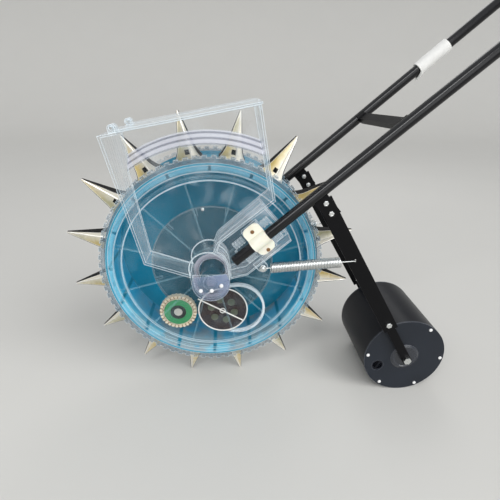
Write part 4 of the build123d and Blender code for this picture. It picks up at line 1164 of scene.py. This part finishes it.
class SEEDER_OT_small_screws(bpy.types.Operator):
    """Screws of the clamps, the hub's plate and the roller's caps"""
    bl_idname = "seeder.small_screws"
    bl_label = "Small screws"

    def execute(self, context):
        colours = context.scene.seeder_colours
        dull = worn_black("rusted_recess", linear("7a5a3c"), linear("b08a5a"), 0.5, 400.0, 0.5, 0.15,
                          Metallic=0.6)
        places = []
        for v in (-CLAMP_SCREW_V, CLAMP_SCREW_V):
            x, z = on_tube(CLAMP_AT, v)
            places += both_sides(x, CLAMP_FACE, z, spin=0.6 * v)
        heads = copies(pan_screw(3.6, 0.9, slot_depth=0.8), places, "clamp_screw_heads")
        finished(heads, "frame", dull, ("clamp_screws",))

        plate = cylinder(35.0, 0.0, HUB_PLATE, 72)
        edit(plate)
        bpy.ops.mesh.select_all(action="SELECT")
        bpy.ops.mesh.bisect(plane_co=(0, 0.018, 0), plane_no=(-0.12, 1, 0), use_fill=True, clear_outer=True)
        plate = eased(moved(done(plate), facing(at(0, -HUB_FACE, 0), (0, -1, 0))))
        milky = clear_moulding("milky_plate", colours, 0.32, 0.6, 0.95, 1.25, 0.2, 0.1, colours.plate)
        finished(smooth(named(plate, "hub_plate"), 30.0), "frame", milky)
        # The screws' bright steel is drawn plain white: a painted glint
        white = moulded_plastic("steel_with_painted_glint", linear("f4f4f4"), 0.25)
        places = [facing(at(x, -HUB_FACE - HUB_PLATE, z), (0, -1, 0)) for x, z in HUB_SCREWS]
        finished(copies(pan_screw(3.6, 2.6), places, "hub_screws"), "frame", white)

        x, z = ROLLER_CENTRE
        places = []
        for i in range(6):
            angle = radians(-4.5 + 60.0 * i)
            run, rise = CAP_SCREW_CIRCLE * cos(angle), CAP_SCREW_CIRCLE * sin(angle)
            places += both_sides(x + run, ROLLER_HALF, z + rise)
        head = pan_screw(context.scene.seeder_sizes.cap_screw * 1000.0, 1.4)
        finished(copies(head, places, "roller_cap_screws"), "roller", white)
        boss = cylinder(CAP_SHOULDER, 0.0, 0.8, 64)
        edit(boss)
        pick_faces(boss, is_top)
        inset_steps(((4.5, 2.6), (2.5, 0.0), (1.0, -0.9)))
        bosses = copies(done(boss), both_sides(x, ROLLER_HALF, z), "roller_cap_bosses")
        glossy = worn_black("gloss_black_boss", linear("22262e"), linear("7d818b"), 0.22, 300.0, 0.5, 0.1,
                            0.03, Specular_IOR_Level=0.7)
        finished(smooth(bosses, 20.0), "roller", glossy)
        spot = at(x + PLUG_AT[0], 1.5 - ROLLER_HALF, z + PLUG_AT[1])
        bar = moved(eased(cylinder(2.6, -8.5, 8.5, 12), 0.9), facing(spot, (0.5, 0, 0.87)))
        finished(smooth(named(bar, "filler_plug_bar"), 40.0), "roller",
                 bpy.data.materials["satin_black_plastic"])
        nut = eased(cylinder(7.2, 0.0, 4.6, 6), 0.6)
        nuts = copies(nut, both_sides(x, LUG_FACE - 2 * PLATE_THICK, z, spin=0.3), "roller_axle_nuts")
        finished(smooth(nuts, 25.0), "frame", bpy.data.materials["bright_plated_steel"])
        return {"FINISHED"}


class SEEDER_OT_film_sleeve(bpy.types.Operator):
    """White film wound on the far tube, crumpled, with a torn flap at its lower end"""
    bl_idname = "seeder.film_sleeve"
    bl_label = "Film sleeve"

    def execute(self, context):
        start, end = SLEEVE_SPAN
        whole = end - start
        film = cylinder(TUBE_RADIUS + 3.6, 0.0, whole, 48)
        edit(film)
        cut_across(whole * i / 12 for i in range(1, 12))
        pick_faces(film, is_end)
        bpy.ops.mesh.inset(thickness=0.0032)
        bpy.ops.mesh.bridge_edge_loops()
        bpy.ops.mesh.select_mode(type="VERT")

        def crumple(vertex):
            angle, z = atan2(vertex.co.y, vertex.co.x), vertex.co.z * 1000.0
            if hypot(vertex.co.x, vertex.co.y) > 0.012:
                widen(vertex, 1 + 0.035 * sin(3 * angle + 0.17 * z) * sin(0.31 * z + angle))
            if z < 0.1:
                flap = max(0.0, 1 - abs(angle + pi / 2) / 1.1)
                vertex.co.z -= 0.014 * flap
                widen(vertex, 1 + 0.35 * flap)

        each_vertex(film, crumple)
        x, z = on_tube(start, 0.0)
        film = moved(outward(done(film)), facing(at(x, TUBE_Y, z), (cos(HANDLE_SLOPE), 0, sin(HANDLE_SLOPE))))
        white = moulded_plastic("white_polythene_film", linear("efefec"), 0.45, 60.0, 0.4)
        finished(smooth(named(film, "film_sleeve"), 40.0), "frame", white, ("tube_sleeve",))
        return {"FINISHED"}


class SEEDER_OT_grips(bpy.types.Operator):
    """Foam grips: a sleeve closed at its end, with rounded ends and a little squeeze from the hand"""
    bl_idname = "seeder.grips"
    bl_label = "Grips"

    def execute(self, context):
        foam = closed_foam(context.scene.seeder_colours)
        x, z = on_tube(BEND_AT, 0.0)
        way = Vector((cos(GRIP_SLOPE), 0.0, sin(GRIP_SLOPE)))
        whole = GRIP_LENGTH + 5.0

        def squeeze(vertex):
            if hypot(vertex.co.x, vertex.co.y) > 0.0122:
                widen(vertex, 0.985 + 0.015 * cos(vertex.co.z * 1000.0 / whole * 8 * pi))

        for side, name in ((-1, "near"), (1, "far")):
            sleeve = cylinder(GRIP_RADIUS - 0.3, 0.0, whole, 40)
            edit(sleeve)
            cut_across(whole * i / 13 for i in range(1, 13))
            pick_faces(sleeve, is_foot)
            bpy.ops.mesh.inset(thickness=(GRIP_RADIUS - 10.5) / 1000.0)
            bpy.ops.mesh.extrude_region_move(TRANSFORM_OT_translate={"value": (0, 0, GRIP_LENGTH / 1000.0)})
            bpy.ops.mesh.select_mode(type="EDGE")
            bpy.ops.mesh.select_all(action="DESELECT")
            pick_edges(sleeve, lambda a, b: abs(a.z - b.z) < 0.01 and (a.z < 0.1 or a.z > whole - 0.1)
                       and min(hypot(a.x, a.y), hypot(b.x, b.y)) > 13)
            bpy.ops.mesh.bevel(offset=0.0035, segments=4, affect="EDGES")
            bpy.ops.mesh.select_mode(type="VERT")
            each_vertex(sleeve, squeeze)
            place = at(x, side * TUBE_Y, z) + way * (GRIP_REACH - GRIP_LENGTH) / 1000.0
            sleeve = smooth(moved(done(sleeve), facing(place, way)), 50.0)
            finished(named(sleeve, "foam_grip_" + name), "frame", foam, ("grip_" + name,))
        return {"FINISHED"}


class SEEDER_OT_drum_details(bpy.types.Operator):
    """Boss on the cover, screw on the metering disc and the screws in the duckbills' feet"""
    bl_idname = "seeder.drum_details"
    bl_label = "Drum details"

    def execute(self, context):
        clear = bpy.data.materials["clear_cover"]
        steel = bpy.data.materials["bright_plated_steel"]
        for name, head, radius, depth, degrees, slot, material in (
            ("cover_boss", (7.5, 1.0, 28, 0.6), 180, -61.0, 99.7, "clear_plastic", clear),
            ("disc_screw", (3.4, 2.0), 117, -36.0, 98.0, "bright_steel", steel),
        ):
            angle = radians(degrees)
            place = facing(at(radius * cos(angle), depth, radius * sin(angle)), (0, -1, 0))
            finished(named(moved(pan_screw(*head), place), name), "drum", material)
        head = pan_screw(context.scene.seeder_sizes.foot_screw * 1000.0, 1.8, 10)
        finished(copies(head, round_drum(*FOOT_SCREWS), "foot_screws"), "drum", steel)
        return {"FINISHED"}


class SEEDER_PT_panel(bpy.types.Panel):
    """The seeder's pieces, colours and sizes"""
    bl_idname = "SEEDER_PT_panel"
    bl_label = "Row seeder"
    bl_space_type = "VIEW_3D"
    bl_region_type = "UI"
    bl_category = "Seeder"

    def draw(self, context):
        for operator in OPERATORS:
            self.layout.operator(operator.bl_idname)
        for group in (context.scene.seeder_colours, context.scene.seeder_sizes):
            for key in group.bl_rna.properties.keys():
                if key not in ("rna_type", "name"):
                    self.layout.prop(group, key)


OPERATORS = (
    SEEDER_OT_stage,
    SEEDER_OT_clear_mouldings,
    SEEDER_OT_drum,
    SEEDER_OT_frame_finish,
    SEEDER_OT_spare_wheels,
    SEEDER_OT_duckbills,
    SEEDER_OT_springs,
    SEEDER_OT_bolts,
    SEEDER_OT_small_screws,
    SEEDER_OT_film_sleeve,
    SEEDER_OT_grips,
    SEEDER_OT_drum_details,
)
CLASSES = (SeederColours, SeederSizes, *OPERATORS, SEEDER_PT_panel)


def register():
    for item in CLASSES:
        bpy.utils.register_class(item)
    bpy.types.Scene.seeder_colours = bpy.props.PointerProperty(type=SeederColours)
    bpy.types.Scene.seeder_sizes = bpy.props.PointerProperty(type=SeederSizes)


def unregister():
    del bpy.types.Scene.seeder_sizes
    del bpy.types.Scene.seeder_colours
    for item in reversed(CLASSES):
        bpy.utils.unregister_class(item)


def main():
    register()
    bpy.ops.seeder.stage()
    bpy.ops.seeder.clear_mouldings()
    bpy.ops.seeder.drum()
    bpy.ops.seeder.frame_finish()
    bpy.ops.seeder.spare_wheels()
    bpy.ops.seeder.duckbills()
    bpy.ops.seeder.springs()
    bpy.ops.seeder.bolts()
    bpy.ops.seeder.small_screws()
    bpy.ops.seeder.film_sleeve()
    bpy.ops.seeder.grips()
    bpy.ops.seeder.drum_details()


if __name__ == "__main__":
    main()
